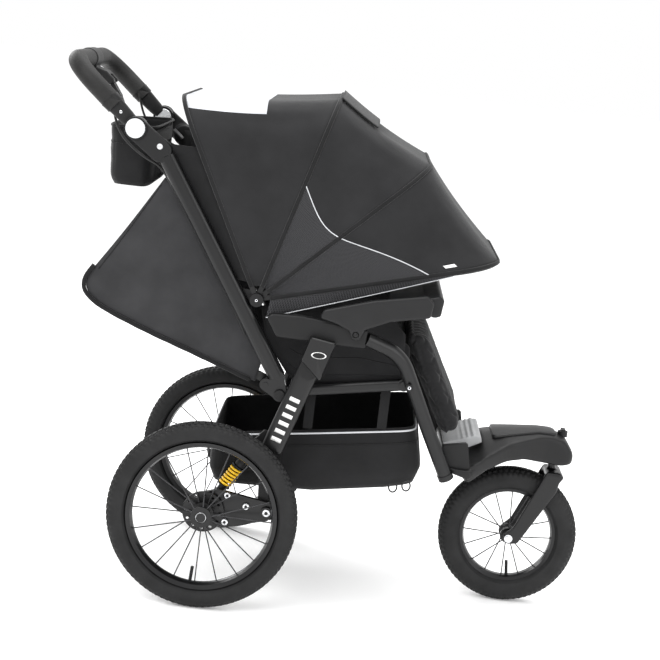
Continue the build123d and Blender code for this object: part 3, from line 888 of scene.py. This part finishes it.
def bag(name, levels, thickness):
    """Open-topped bag through rings, with a closed bottom."""
    rows = list(levels)
    bottom = rows[0]
    centre = sum(bottom, Vector()) / len(bottom)
    inner = []
    for step in (0.05, 0.35, 0.65, 0.88):
        inner.append([Vector((centre.x + (p.x - centre.x) * step, centre.y + (p.y - centre.y) * step, p.z))
                      for p in bottom])
    rows = inner + rows
    obj = grid_piece(name, rows, wrap=True)
    count = len(bottom)
    mesh = bmesh.new()
    mesh.from_mesh(obj.data)
    mesh.verts.ensure_lookup_table()
    mesh.faces.new([mesh.verts[k] for k in range(count)][::-1])
    mesh.to_mesh(obj.data)
    mesh.free()
    outward(obj)
    area = mesh_area(obj)
    thicken(obj, thickness, offset=-1.0)
    return obj, area, rows


class STROLLER_OT_bags(bpy.types.Operator):
    """Storage basket under the seat and pouch on the handle"""
    bl_idname = "stroller.bags"
    bl_label = "Basket and pouch"

    def execute(self, context):
        low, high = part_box("basket")

        def floor(x):
            run = x - AXLE_X
            return 0.242 + max(0, run - 0.166) * 0.1 + max(0, run - 0.301) * 0.14

        def hem(x):
            run = x - AXLE_X
            return 0.352 + max(0, run) * 0.146
        levels = []
        for k in range(13):
            t = k / 12
            x1 = low[0] + (high[0] - low[0]) - 0.024 * t ** 1.4 - 0.012 * (1 - min(1, t * 4))
            x0 = low[0] + 0.004 + 0.010 * (1 - min(1, t * 4))
            half = 0.178 - 0.012 * (1 - min(1, t * 4))
            wave = 0.004 * math.sin(math.pi * t)
            levels.append(ring(x0, x1, half, lambda x, t=t: floor(x) + (hem(x) - floor(x)) * t, wave,
                               corner=0.14))
        basket, area, rows = bag("basket_cloth", levels, 0.0022)
        finish(basket, "cloth_soft")
        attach(basket, "front_frame")
        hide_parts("basket")
        band = [p + Vector((p.x - middle("basket").x, p.y * 1.6, 0)).normalized() * 0.0014 for p in rows[-4]]
        hub = middle("basket")
        rim = []
        for p, below in zip(rows[-1][::2], rows[-2][::2]):
            away = Vector((p.x - hub.x, p.y * 1.6, 0)).normalized()
            rim.append(p.lerp(below, 0.65) + away * 0.0012)
        top = tube_piece("basket_hem_piping", rim, 0.0019, closed=True, sides=3)
        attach(finish(top, "piping"), "front_frame")
        line = tube_piece("basket_band_seam", band[::2], 0.0011, closed=True, sides=2)
        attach(finish(line, "cloth_edge"), "front_frame")
        self.pouch()
        return {"FINISHED"}

    def pouch(self):
        low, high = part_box("pouch")
        base, top = low[2] + 0.001, high[2]
        levels = []
        for k in range(15):
            t = k / 14
            grow = math.sin(math.pi / 2 * min(1, t * 5 + 0.25))
            back = low[0] + 0.001 + 0.012 * (1 - grow) + 0.008 * (1 - t)
            front = AXLE_X - 0.184 - 0.014 * (1 - grow) - 0.004 * (1 - t)
            half = 0.166 - 0.020 * (1 - grow) - 0.004 * math.sin(math.pi * t)
            crease = 0.0012 * math.sin(t * 19)
            levels.append(ring(back + crease * 0.5, front, half, lambda x, t=t: base + (top - base) * t
                               + 0.006 * t * (x - back) / 0.1, 0.004 * math.sin(math.pi * t), corner=0.35))
        obj, area, rows = bag("handle_pouch", levels, 0.0022)
        finish(obj, "cloth_soft")
        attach(obj, "push_frame")
        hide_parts("pouch")
        rim = tube_piece("pouch_rim", rows[-1][::2], 0.0026, closed=True, sides=3)
        hub = middle("pouch")
        fold = [p + Vector((p.x - hub.x, p.y * 0.3, 0)).normalized() * 0.0012 for p in rows[-5][::2]]
        fold = tube_piece("pouch_band_seam", fold, 0.0012, closed=True, sides=2)
        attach(finish(fold, "cloth_edge"), "push_frame")
        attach(finish(rim, "cloth_edge"), "push_frame")
        for side, tag in ((-1, "right"), (1, "left")):
            x, z = HANDLE.x + 0.042, HANDLE.z - 0.034
            strip = [[Vector((x + dx, side * y, z + dz)) for y in (0.160, 0.178, 0.194, 0.2085)]
                     for dx, dz in ((-0.012, 0.009), (0.0, 0.0), (0.010, -0.009))]
            strap = thicken(grid_piece(f"pouch_strap_{tag}", strip), 0.002)
            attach(finish(strap, "webbing"), "push_frame")


# ---- wheels ----
def tyre_mesh(name, node, steps, blocks):
    """Treaded tyre with ringed sidewalls, in place of a CAD tyre."""
    low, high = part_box(node)
    at = (Vector(low) + Vector(high)) / 2
    outer = (high[2] - low[2]) / 2
    half = (high[1] - low[1]) / 2
    tread = bpy.context.scene.stroller_wheels.tread
    inner = outer - half * 1.86
    mid = (outer - tread + inner) / 2
    tall = (outer - tread - inner) / 2
    around = 44
    rows = []
    for k in range(steps):
        turn = 2 * math.pi * k / steps
        phase = (k * blocks / steps) % 1.0
        row = []
        for i in range(around):
            roll = 2 * math.pi * i / around
            up = math.cos(roll)
            out = math.sin(roll)
            rise = 0.0
            if up > 0.30:
                band = abs(out)
                if band < 0.22:
                    rise = tread if phase < 0.78 else 0.0
                elif 0.30 < band < 0.62:
                    rise = tread if (phase + 0.5) % 1 < 0.62 else 0.0
                elif 0.68 < band < 0.93:
                    rise = tread * 0.9 if phase < 0.55 else 0.0
            elif -0.05 < up < 0.10 or -0.58 < up < -0.45:
                rise = 0.0012
            r = mid + (tall + rise) * (abs(up) ** 0.92) * math.copysign(1, up)
            y = (half - 0.0012) * math.copysign(abs(out) ** 0.85, out) + math.copysign(rise * 0.3, out)
            row.append(Vector((at.x + r * math.cos(turn), at.y + y, at.z + r * math.sin(turn))))
        rows.append(row)
    count = around
    points = [p for row in rows for p in row]
    faces = [(i * count + k, i * count + (k + 1) % count, ((i + 1) % steps) * count + (k + 1) % count,
              ((i + 1) % steps) * count + k) for i in range(steps) for k in range(count)]
    obj = outward(mesh_piece(name, points, faces))
    pick(obj)
    bpy.ops.object.shade_smooth_by_angle(angle=math.radians(28))
    return finish(obj, "tyre")


class STROLLER_OT_wheels(bpy.types.Operator):
    """Tyres, valve stems and hub caps"""
    bl_idname = "stroller.wheels"
    bl_label = "Wheels"

    def execute(self, context):
        for node, body, blocks in (("rear_tyre_right", "rear_wheel_right", 96),
                                   ("rear_tyre_left", "rear_wheel_left", 96),
                                   ("front_tyre", "front_wheel", 76)):
            obj = tyre_mesh(node.replace("tyre", "treaded_tyre"), node, blocks * 5, blocks)
            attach(obj, body)
            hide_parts(node)
            self.valve(node, body)
        for side, tag in ((-1, "right"), (1, "left")):
            place = Vector((REAR_AXLE.x, side * 0.306, REAR_AXLE.z))
            cap = lathe(f"hub_cap_{tag}", [(0.0, 0.0018 * side), (0.0055, 0.0016 * side),
                                           (0.0068, 0.0004 * side),
                                           (0.0105, 0.0002 * side), (0.0135, -0.002 * side),
                                           (0.0142, -0.006 * side), (0.0, -0.006 * side)], place, 40)
            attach(finish(cap, "chrome"), f"rear_wheel_{tag}")
            self.rim_lips(tag)
        return {"FINISHED"}

    def rim_lips(self, tag):
        low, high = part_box(f"rear_rim_{tag}")
        at = (Vector(low) + Vector(high)) / 2
        r = (high[2] - low[2]) / 2
        lips = lathe(f"rim_lip_{tag}", [(r - 0.0118, -0.0056), (r - 0.0128, -0.003), (r - 0.0128, 0.003),
                                        (r - 0.0118, 0.0056), (r - 0.0112, 0.0), (r - 0.0118, -0.0056)], at,
                     96)
        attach(finish(lips, "rim_edge"), f"rear_wheel_{tag}")

    def valve(self, node, body):
        low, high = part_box(node)
        at = (Vector(low) + Vector(high)) / 2
        bead = (high[2] - low[2]) / 2 - (0.055 if "rear" in node else 0.059)
        lean = -0.07 if "rear" in node else 0.12
        way = Vector((math.sin(lean), 0, -math.cos(lean)))
        points = [at + way * (bead - d) for d in (-0.002, 0.008, 0.020, 0.031)]
        stem = tube_piece(f"valve_{node}", points, 0.0036, sides=3)
        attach(finish(stem, "tyre"), body)


# ---- suspension, cables and trim ----
class STROLLER_OT_suspension(bpy.types.Operator):
    """Dampers with yellow coil springs"""
    bl_idname = "stroller.suspension"
    bl_label = "Suspension"

    def execute(self, context):
        turns = context.scene.stroller_frame.coil_turns
        for side, tag in ((-1, "right"), (1, "left")):
            low = side_point(0.025, 0.235, 0.220 * side)
            top = side_point(0.078, 0.322, 0.220 * side)
            way = (top - low).normalized()
            across = Vector((0, 1, 0))
            normal = way.cross(across)
            length = (top - low).length
            coil = []
            for k in range(turns * 14 + 1):
                t = k / (turns * 14)
                ang = 2 * math.pi * turns * t
                coil.append(low + way * length * (0.21 + 0.45 * t)
                            + (across * math.cos(ang) + normal * math.sin(ang)) * 0.0122)
            spring = tube_piece(f"coil_spring_{tag}", coil, 0.0026, sides=3)
            finish(spring, "spring")
            frame_of = Matrix((across, normal, way)).transposed().to_4x4()
            parts = []
            for a, b, r in ((0.0, 0.17, 0.0085), (0.17, 0.205, 0.0145), (0.2, 0.72, 0.0062),
                            (0.665, 0.70, 0.0145),
                            (0.70, 0.86, 0.011), (0.86, 1.0, 0.0075)):
                deselect()
                bpy.ops.mesh.primitive_cylinder_add(radius=r, depth=length * (b - a), vertices=28)
                part = bpy.context.object
                bevel = part.modifiers.new("edge", "BEVEL")
                bevel.width = 0.0009
                bevel.segments = 2
                apply_modifiers(part)
                part.data.transform(Matrix.Translation(low + way * length * (a + b) / 2) @ frame_of)
                parts.append(part)
            for end in (low, top):
                deselect()
                bpy.ops.mesh.primitive_cylinder_add(radius=0.0092, depth=0.0125, vertices=32,
                                                    rotation=(math.pi / 2, 0, 0), location=end)
                bpy.ops.object.transform_apply(location=True, rotation=True, scale=True)
                parts.append(bpy.context.object)
            damper = join(f"damper_{tag}", parts)
            pick(damper)
            bpy.ops.object.shade_smooth_by_angle(angle=math.radians(40))
            finish(damper, "plastic")
            for piece, slot in ((spring, "spring"), (damper, "plastic")):
                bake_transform(piece)
            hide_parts(f"shock_{tag}")
        return {"FINISHED"}


class STROLLER_OT_cables(bpy.types.Operator):
    """Brake cables from the handle to the push tubes"""
    bl_idname = "stroller.cables"
    bl_label = "Cables"

    def execute(self, context):
        for side, tag in ((-1, "right"), (1, "left")):
            points = [side_point(x, z, y * side) for x, y, z in (
                (-0.275, 0.1936, 1.014), (-0.268, 0.1975, 0.985), (-0.250, 0.2020, 0.955),
                (-0.222, 0.2070, 0.932),
                (-0.192, 0.2120, 0.915), (-0.166, 0.2150, 0.906), (-0.142, 0.2165, 0.876),
                (-0.110, 0.2165, 0.826),
                (-0.060, 0.2165, 0.748), (-0.010, 0.2165, 0.670), (0.030, 0.2165, 0.607),
                (0.045, 0.2120, 0.577))]
            cable = tube_piece(f"brake_cable_{tag}", points, 0.0026, sides=4)
            finish(cable, "cable")
            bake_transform(cable)
        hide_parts("brake_cables")
        pull = smooth_run([side_point(-0.312, 1.060, 0.0), side_point(-0.285, 1.050, -0.10),
                           side_point(-0.260, 1.030, -0.17), side_point(-0.246, 1.008, -0.203)], 14)
        thin = tube_piece("tilt_cable", pull, 0.0019, sides=3)
        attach(finish(thin, "cable"), "handle")
        return {"FINISHED"}


def screw(name, place, radius, side, body, paint_socket_shade=True):
    """Bright screw head; the dark finish in its socket is painted shade for the hole."""
    s = side
    head = lathe(name, [(0.0, -0.0006 * s), (radius * 0.42, -0.0006 * s), (radius * 0.46, 0.0012 * s),
                        (radius * 0.86, 0.0008 * s), (radius, -0.0004 * s), (radius, -0.002 * s),
                        (0.0, -0.002 * s)], place, 36)
    finish(head, "chrome", "dark")
    # Faces inside the socket take the dark finish: painted shade in the recess.
    for face in head.data.polygons:
        near = (face.center - place)
        if paint_socket_shade and math.hypot(near.x, near.z) < radius * 0.43 and near.y * s > -0.001:
            face.material_index = 1
    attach(head, body)


class STROLLER_OT_trim(bpy.types.Operator):
    """Screws, badges, leg bars, joint buttons and collars, arm sleeves, leg plates, nose gussets and basket
    loops
    """
    bl_idname = "stroller.trim"
    bl_label = "Trim"

    def execute(self, context):
        rear_r = REAR_AXLE.z
        for side, tag in ((-1, "right"), (1, "left")):
            for number, (x, z) in enumerate(((0.047, rear_r + 0.039), (0.088, rear_r + 0.020),
                                             (0.047, rear_r - 0.019))):
                screw(f"arm_screw_{number}_{tag}", side_point(x, z, side * 0.2562), 0.0072, side,
                      f"swing_{tag}")
            screw(f"pivot_screw_{tag}", Vector((SWING.x, side * 0.2597, SWING.z)), 0.0085, side, "rear_frame")
            screw(f"leg_screw_{tag}", side_point(0.397, 0.512, side * 0.2462), 0.0042, side, "front_frame")
            screw(f"housing_screw_{tag}", side_point(-0.167, 0.946, side * 0.2372), 0.0042, side,
                  "push_frame")
            screw(f"fork_screw_{tag}", middle("front_tyre") + Vector((0, side * 0.0462, 0)), 0.0075, side,
                  "caster_fork")
            screw(f"hub_screw_{tag}", Vector((HUB.x, side * 0.2372, HUB.z)), 0.0034, side, "push_frame")
            self.leg_bars(side, tag)
            self.badge(side, tag)
            self.button_ring(side, tag)
            self.arm_sleeve(side, tag)
            self.leg_plate(side, tag)
            self.nose_gusset(side, tag)
        self.basket_loops()
        return {"FINISHED"}

    def leg_bars(self, side, tag):
        """Plain bars printed down each rear leg."""
        top, foot = joint_place("rear_leg_fold"), side_point(0.127, 0.347)
        way = (foot - top).normalized()
        across = Vector((way.z, 0, -way.x))
        bars = []
        for start, end, wide in [(0.142 + 0.0185 * k, 0.1505 + 0.0185 * k, 0.011) for k in range(6)]:
            corners = [top + way * t + across * w for t, w in ((start, -wide), (start, wide), (end, wide),
                                                               (end, -wide))]
            for p in corners:
                p.y = side * 0.2603
            bar = mesh_piece("leg_bar", corners, [(0, 1, 2, 3)], [(0, 0), (1, 0), (1, 1), (0, 1)])
            bars.append(bar)
        obj = join(f"leg_bars_{tag}", bars)
        thicken(obj, 0.0004)
        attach(finish(obj, "print"), "rear_frame")

    def badge(self, side, tag):
        """Plain oval badge on the leg bracket."""
        place = side_point(0.2035, 0.566, side * 0.2898)
        s = side
        oval = lathe(f"leg_badge_{tag}", [(0.0, 0.0014 * s), (0.0085, 0.0013 * s), (0.0092, 0.0006 * s),
                                          (0.0100, 0.0012 * s), (0.0110, 0.0004 * s), (0.0112, -0.0006 * s),
                                          (0.0, -0.0006 * s)], place, 48)
        for vertex in oval.data.vertices:
            vertex.co.z = place.z + (vertex.co.z - place.z) * 0.62
            vertex.co.x = place.x + (vertex.co.x - place.x) * 1.4
        finish(oval, "dark", "print")
        for face in oval.data.polygons:
            spread = math.hypot((face.center.x - place.x) / 1.4, (face.center.z - place.z) / 0.62)
            if spread > 0.0091:
                face.material_index = 1
        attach(oval, "rear_frame")

    def leg_plate(self, side, tag):
        """Cover plate over the top of each rear leg."""
        corners = [side_point(x, z) for x, z in ((0.183, 0.602), (0.236, 0.594), (0.211, 0.512),
                                                 (0.168, 0.552))]
        hub = sum(corners, Vector()) / 4
        rows = []
        for y, shrink in ((0.2602, 1.0), (0.2868, 1.0), (0.2892, 0.94), (0.2892, 0.0)):
            row = []
            for k in range(4):
                a, b = corners[k], corners[(k + 1) % 4]
                for i in range(8):
                    t = 0.06 + 0.88 * i / 7
                    p = hub + (a.lerp(b, t) - hub) * shrink
                    p.y = side * y
                    row.append(p)
            rows.append(row)
        obj = grid_piece(f"leg_plate_{tag}", rows, wrap=True)
        pick(obj)
        bpy.ops.object.mode_set(mode="EDIT")
        bpy.ops.mesh.select_all(action="SELECT")
        bpy.ops.mesh.remove_doubles(threshold=0.00005)
        bpy.ops.mesh.normals_make_consistent(inside=False)
        bpy.ops.object.mode_set(mode="OBJECT")
        bpy.ops.object.shade_smooth_by_angle(angle=math.radians(40))
        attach(finish(obj, "paint"), "rear_frame")

    def arm_sleeve(self, side, tag):
        """Flat arm between the grip and the joint, over the handle's tube."""
        low = Vector((HANDLE.x, side * 0.2145, HANDLE.z))
        box_low, box_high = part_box("handle_grip")
        back = Vector((box_low[0] + 0.020, side * 0.2145, box_high[2] - 0.020))
        way = (back - low).normalized()
        across = way.cross(Vector((0, 1, 0))).normalized()
        rows = []
        length = (back - low).length * 0.33
        for t, wide, deep in ((0.155, 0.0, 0.0), (0.155, 0.0115, 0.008), (0.17, 0.0135, 0.0095),
                              (0.45, 0.0155, 0.0105),
                              (0.97, 0.0175, 0.0125), (1.03, 0.0190, 0.0165), (1.30, 0.0203, 0.0203),
                              (1.32, 0.0, 0.0)):
            at = low + way * length * t
            rows.append([at + across * wide * math.copysign(abs(math.cos(a)) ** 0.6, math.cos(a))
                         + Vector((0, 1, 0)) * deep * math.copysign(abs(math.sin(a)) ** 0.6, math.sin(a))
                         for a in [2 * math.pi * k / 40 for k in range(40)]])
        obj = outward(grid_piece(f"handle_arm_{tag}", rows, wrap=True))
        pick(obj)
        bpy.ops.object.shade_smooth_by_angle(angle=math.radians(40))
        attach(finish(obj, "plastic"), "handle")
        spot = low + way * length * 0.72
        spot.y = side * 0.2262
        screw(f"arm_sleeve_screw_{tag}", spot, 0.0035, side, "handle")
        disc = lathe(f"inner_disc_{tag}", [(0.0, -0.0018 * side), (0.0165, -0.0016 * side), (0.0180, 0.0),
                                           (0.0180, 0.001 * side), (0.0, 0.001 * side)],
                     Vector((HANDLE.x, side * 0.2080, HANDLE.z)), 48)
        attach(finish(disc, "silver_part"), "push_frame")

    def nose_gusset(self, side, tag):
        """Moulded web between the front leg's end and the console."""
        low = [side_point(x, z) for x, z in ((0.484, 0.378), (0.540, 0.390), (0.552, 0.330), (0.508, 0.326))]
        hub = sum(low, Vector()) / 4
        rows = []
        for y, shrink in ((0.148, 0.0), (0.148, 0.9), (0.150, 1.0), (0.159, 1.0), (0.161, 0.94),
                          (0.161, 0.0)):
            row = []
            for k in range(4):
                for i in range(6):
                    p = hub + (low[k].lerp(low[(k + 1) % 4], 0.08 + 0.84 * i / 5) - hub) * shrink
                    p.y = side * y
                    row.append(p)
            rows.append(row)
        obj = outward(grid_piece(f"nose_gusset_{tag}", rows, wrap=True))
        pick(obj)
        bpy.ops.object.shade_smooth_by_angle(angle=math.radians(40))
        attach(finish(obj, "plastic"), "front_frame")

    def button_ring(self, side, tag):
        place = Vector((HANDLE.x, side * 0.2405, HANDLE.z))
        s = side
        disc = lathe(f"button_face_{tag}", [(0.0, 0.0012 * s), (0.012, 0.0011 * s), (0.0128, 0.0004 * s),
                                            (0.0138, 0.0010 * s), (0.0195, 0.0003 * s), (0.0203, -0.0028 * s),
                                            (0.0, -0.0028 * s)], place, 56)
        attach(finish(disc, "silver_part"), f"button_{tag}")
        collar = lathe(f"joint_collar_{tag}", [(0.0208, -0.0064 * s), (0.0212, -0.0015 * s),
                                               (0.0232, -0.0018 * s),
                                               (0.0240, -0.0064 * s)], place, 56)
        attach(finish(collar, "plastic"), "push_frame")

    def basket_loops(self):
        """Small pull loops under the basket's front edge."""
        for number, x in enumerate((0.392, 0.420)):
            base = side_point(x, 0.286 + number * 0.006, -0.168)
            loop = [base + Vector((0.009 * math.sin(a), 0.002 * math.cos(a), -0.010 + 0.011 * math.cos(a)))
                    for a in [2 * math.pi * k / 12 for k in range(12)]]
            obj = tube_piece(f"basket_loop_{number}", loop, 0.0017, closed=True, sides=3)
            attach(finish(obj, "webbing"), "front_frame")


class STROLLER_OT_mouldings(bpy.types.Operator):
    """Rounded plastic mouldings in place of the plain ones"""
    bl_idname = "stroller.mouldings"
    bl_label = "Mouldings"

    def execute(self, context):
        for node, body, voxel, rounds, look, slot in (
                ("nose_console", "front_frame", 0.0034, 40, "plastic", "plastic"),
                ("nose_panel", "front_frame", 0.0022, 12, "grey_plastic", "grey_plastic"),
                ("footrest", "front_frame", 0.0024, 3, "light_plastic", "light_plastic"),
                ("arm_housings", "front_frame", 0.0024, 7, "plastic", "plastic"),
                ("tray_arms", "tray", 0.0022, 7, "grey_plastic", "grey_plastic"),
                ("tray", "tray", 0.0030, 6, "grey_plastic", "grey_plastic"),
                ("handle_housings", "push_frame", 0.0020, 5, "plastic", "plastic"),
                ("rear_legs", "rear_frame", 0.0020, 7, "paint", "frame"),
                ("lever_pod", "handle", 0.0018, 5, "plastic", "plastic"),
                ("fork", "caster_fork", 0.0020, 40, "paint", "plastic")):
            obj = softened(node, f"{node}_moulding", voxel, rounds, 0.0002)
            if node.startswith("nose"):
                for vertex in obj.data.vertices:
                    high = min(1.0, max(0.0, (vertex.co.z - 0.33) / 0.07))
                    vertex.co.z -= 0.034 * high * (abs(vertex.co.y) / 0.158) ** 1.6
                    back = min(1.0, max(0.0, (0.70 - (vertex.co.x - AXLE_X)) / 0.12))
                    vertex.co.z -= 0.014 * high * back
            if node == "rear_legs":
                top, foot = joint_place("rear_leg_fold"), side_point(0.127, 0.347)
                way = (foot - top).normalized()
                for vertex in obj.data.vertices:
                    run = (vertex.co - top).dot(way)
                    out = vertex.co - top - way * run
                    out.y = 0
                    vertex.co += out * 0.34 * min(1.0, max(0.0, (run + 0.01) / 0.05))
            if node == "footrest":
                for vertex in obj.data.vertices:
                    vertex.co.y *= 0.56
                    vertex.co.z -= 0.008
            finish(obj, look)
            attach(obj, body)
            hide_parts(node)
        return {"FINISHED"}


class STROLLER_OT_finishes(bpy.types.Operator):
    """Makes the materials and dresses the carried-over parts"""
    bl_idname = "stroller.finishes"
    bl_label = "Finishes"

    def execute(self, context):
        scene = context.scene
        cloth, parts, wheels = scene.stroller_cloth, scene.stroller_frame, scene.stroller_wheels
        colour = tuple(cloth.colour)
        FINISHES.update({
            "cloth": cloth_finish("canopy_cloth", colour, sheen=0.10),
            "cloth_soft": cloth_finish("bag_cloth", tuple(c * 0.6 for c in colour), sheen=0.12, wrinkle=0.6),
            "cloth_tent": cloth_finish("tent_cloth", tuple(c * 1.9 for c in colour), sheen=0.15, wrinkle=0.9),
            "cloth_edge": cloth_finish("edge_binding", tuple(c * 0.6 for c in colour), pitch=0.0018,
                                       sheen=0.1,
                                       on_uv=False, wrinkle=0.1),
            "cloth_pad": cloth_finish("pad_cloth", tuple(c * 0.8 for c in colour), pitch=0.0014, sheen=0.12,
                                      on_uv=False, wrinkle=0.5),
            "webbing": cloth_finish("webbing", tuple(c * 1.3 for c in colour), pitch=0.0022, depth=0.5,
                                    on_uv=False, wrinkle=0.0),
            "window": mesh_finish("window_mesh", (0.046, 0.046, 0.049), (0.006, 0.006, 0.0065)),
            "silver": cloth_finish("silver_roof", tuple(cloth.silver), sheen=0.0, rough=0.35, depth=0.1,
                                   wrinkle=1.0),
            "piping": hard_finish("silver_piping", tuple(cloth.piping), rough=0.4, grain=0.3,
                                  grain_scale=1500.0),
            "paint": hard_finish("frame_paint", tuple(parts.paint), rough=0.34, coat=0.15, grain=0.08),
            "plastic": hard_finish("black_plastic", tuple(parts.plastic), rough=0.48, grain=0.3),
            "grey_plastic": hard_finish("tray_plastic", (0.008, 0.008, 0.0085), rough=0.42, grain=0.25),
            "light_plastic": hard_finish("footrest_plastic", (0.34, 0.345, 0.35), rough=0.45, grain=0.25),
            # Dark finish: painted shade in the screw sockets, and the badge's own black face.
            "dark": hard_finish("socket_shade_and_badge_black", (0.006, 0.006, 0.006), rough=0.6),
            "silver_part": hard_finish("button_silver", (0.62, 0.63, 0.64), rough=0.28, metal=0.25, coat=0.4),
            "print": hard_finish("white_print", (0.78, 0.78, 0.77), rough=0.5, grain=0.1, spread=0.04),
            "chrome": hard_finish("bright_metal", (0.72, 0.73, 0.75), rough=0.2, metal=1.0, grain=0.05),
            "spoke": hard_finish("spoke_steel", (0.05, 0.05, 0.052), rough=0.35, metal=0.8, grain=0.05),
            "rim": hard_finish("rim_black", (0.006, 0.006, 0.0065), rough=0.3, metal=0.3, coat=0.3,
                               grain=0.05),
            "rim_edge": hard_finish("rim_edge", (0.06, 0.061, 0.063), rough=0.28, metal=0.9, grain=0.05),
            "spring": hard_finish("spring_paint", tuple(parts.spring), rough=0.32, coat=0.5, grain=0.08),
            "cable": hard_finish("cable_jacket", (0.012, 0.012, 0.012), rough=0.5),
            "grip": leather_finish("grip_cover", (0.011, 0.0108, 0.0106)),
            "tyre": tyre_finish("tyre_rubber", tuple(wheels.rubber)),
        })
        looks = {"paint": ["front_legs", "seat_rails", "cross_tubes", "rear_crossbar", "push_tubes",
                           "handlebar", "backrest_arms", "fold_brackets", "swing_arm_left", "swing_arm_right",
                           "bow_rear", "bow_middle", "bow_front", "visor_frame", "rear_hub_left",
                           "rear_hub_right", "front_hub"],
                 "plastic": ["frame_bolts", "axle_brackets", "canopy_hubs", "brake_lever", "leg_brackets",
                             "swivel_lock"],
                 "chrome": ["housing_screws", "fork_bolts"],
                 "cloth_soft": ["basket_straps"],
                 "rim": ["rear_rim_left", "rear_rim_right", "front_rim"],
                 "spoke": ["rear_spokes_left", "rear_spokes_right", "front_spokes"],
                 "grip": ["handle_grip"],
                 "silver_part": ["joint_button_left", "joint_button_right"]}
        for look, nodes in looks.items():
            for node in nodes:
                dress(node, look)
        return {"FINISHED"}


# ---- stage ----
class STROLLER_OT_stage(bpy.types.Operator):
    """Pale floor, soft lights and the camera"""
    bl_idname = "stroller.stage"
    bl_label = "Stage"

    def execute(self, context):
        deselect()
        bpy.ops.mesh.primitive_plane_add(size=60, location=(0, 0, CAD_BOX[0][2] - 0.0005))
        floor = bpy.context.object
        floor.name = "floor"
        material, _, _, shader = new_material("pale_floor")
        shader.inputs["Base Color"].default_value = (0.97, 0.97, 0.97, 1)
        shader.inputs["Emission Color"].default_value = (1, 1, 1, 1)
        shader.inputs["Emission Strength"].default_value = 0.1
        shader.inputs["Roughness"].default_value = 0.9
        floor.data.materials.append(material)
        world = bpy.data.worlds.new("studio")
        world.use_nodes = True
        world.node_tree.nodes["Background"].inputs[0].default_value = (1, 1, 1, 1)
        world.node_tree.nodes["Background"].inputs[1].default_value = 1.0
        context.scene.world = world
        context.scene.view_settings.view_transform = "Standard"
        for name, place, size, power in (("key", (-1.6, -3.0, 3.2), 2.4, 95),
                                         ("fill", (2.6, -2.4, 1.6), 2.2, 35),
                                         ("top", (0.2, 0.4, 3.6), 2.8, 90),
                                         ("rim", (-2.4, 2.6, 2.2), 1.8, 60)):
            light = bpy.data.lights.new(name, "AREA")
            light.size = size
            light.energy = power
            obj = bpy.data.objects.new(name, light)
            obj.location = place
            way = Vector((0, 0, 0.6)) - Vector(place)
            obj.rotation_euler = way.to_track_quat("-Z", "Y").to_euler()
            context.scene.collection.objects.link(obj)
        self.camera(context)
        return {"FINISHED"}

    def camera(self, context):
        yaw, pitch, roll = math.radians(-0.38), math.radians(10.5), math.radians(6.76)
        forward = Vector((math.sin(yaw) * math.cos(pitch), math.cos(yaw) * math.cos(pitch), -math.sin(pitch)))
        right = Vector((math.cos(yaw), -math.sin(yaw), 0))
        up = right.cross(forward)
        turned_right = right * math.cos(roll) + up * math.sin(roll)
        turned_up = up * math.cos(roll) - right * math.sin(roll)
        data = bpy.data.cameras.new("camera")
        data.lens = 90.5
        data.sensor_width = 36
        obj = bpy.data.objects.new("camera", data)
        matrix = Matrix((turned_right, turned_up, -forward)).transposed().to_4x4()
        matrix.translation = Vector((AXLE_X + 0.242, -3.604, 1.236))
        obj.matrix_world = matrix
        context.scene.collection.objects.link(obj)
        context.scene.camera = obj


STEPS = ("stage", "finishes", "mouldings", "canopy", "recline_tent", "seat", "bags", "wheels", "suspension",
         "cables", "trim")


class STROLLER_PT_panel(bpy.types.Panel):
    """Buttons for the stroller's pieces"""
    bl_idname = "STROLLER_PT_panel"
    bl_label = "Stroller"
    bl_space_type = "VIEW_3D"
    bl_region_type = "UI"
    bl_category = "Stroller"

    def draw(self, context):
        for group in ("stroller_cloth", "stroller_frame", "stroller_wheels"):
            values = getattr(context.scene, group)
            for name in values.__annotations__:
                self.layout.prop(values, name)
        for step in STEPS:
            self.layout.operator(f"stroller.{step}")


CLASSES = (StrollerCloth, StrollerFrame, StrollerWheels, STROLLER_OT_finishes, STROLLER_OT_mouldings,
           STROLLER_OT_canopy, STROLLER_OT_recline_tent, STROLLER_OT_seat, STROLLER_OT_bags,
           STROLLER_OT_wheels,
           STROLLER_OT_suspension, STROLLER_OT_cables, STROLLER_OT_trim, STROLLER_OT_stage, STROLLER_PT_panel)


def register():
    for item in CLASSES:
        bpy.utils.register_class(item)
    bpy.types.Scene.stroller_cloth = bpy.props.PointerProperty(type=StrollerCloth)
    bpy.types.Scene.stroller_frame = bpy.props.PointerProperty(type=StrollerFrame)
    bpy.types.Scene.stroller_wheels = bpy.props.PointerProperty(type=StrollerWheels)


def unregister():
    del bpy.types.Scene.stroller_cloth
    del bpy.types.Scene.stroller_frame
    del bpy.types.Scene.stroller_wheels
    for item in reversed(CLASSES):
        bpy.utils.unregister_class(item)


def main():
    register()
    for step in STEPS:
        getattr(bpy.ops.stroller, step)()
    bpy.context.view_layer.update()


if __name__ == "__main__":
    main()
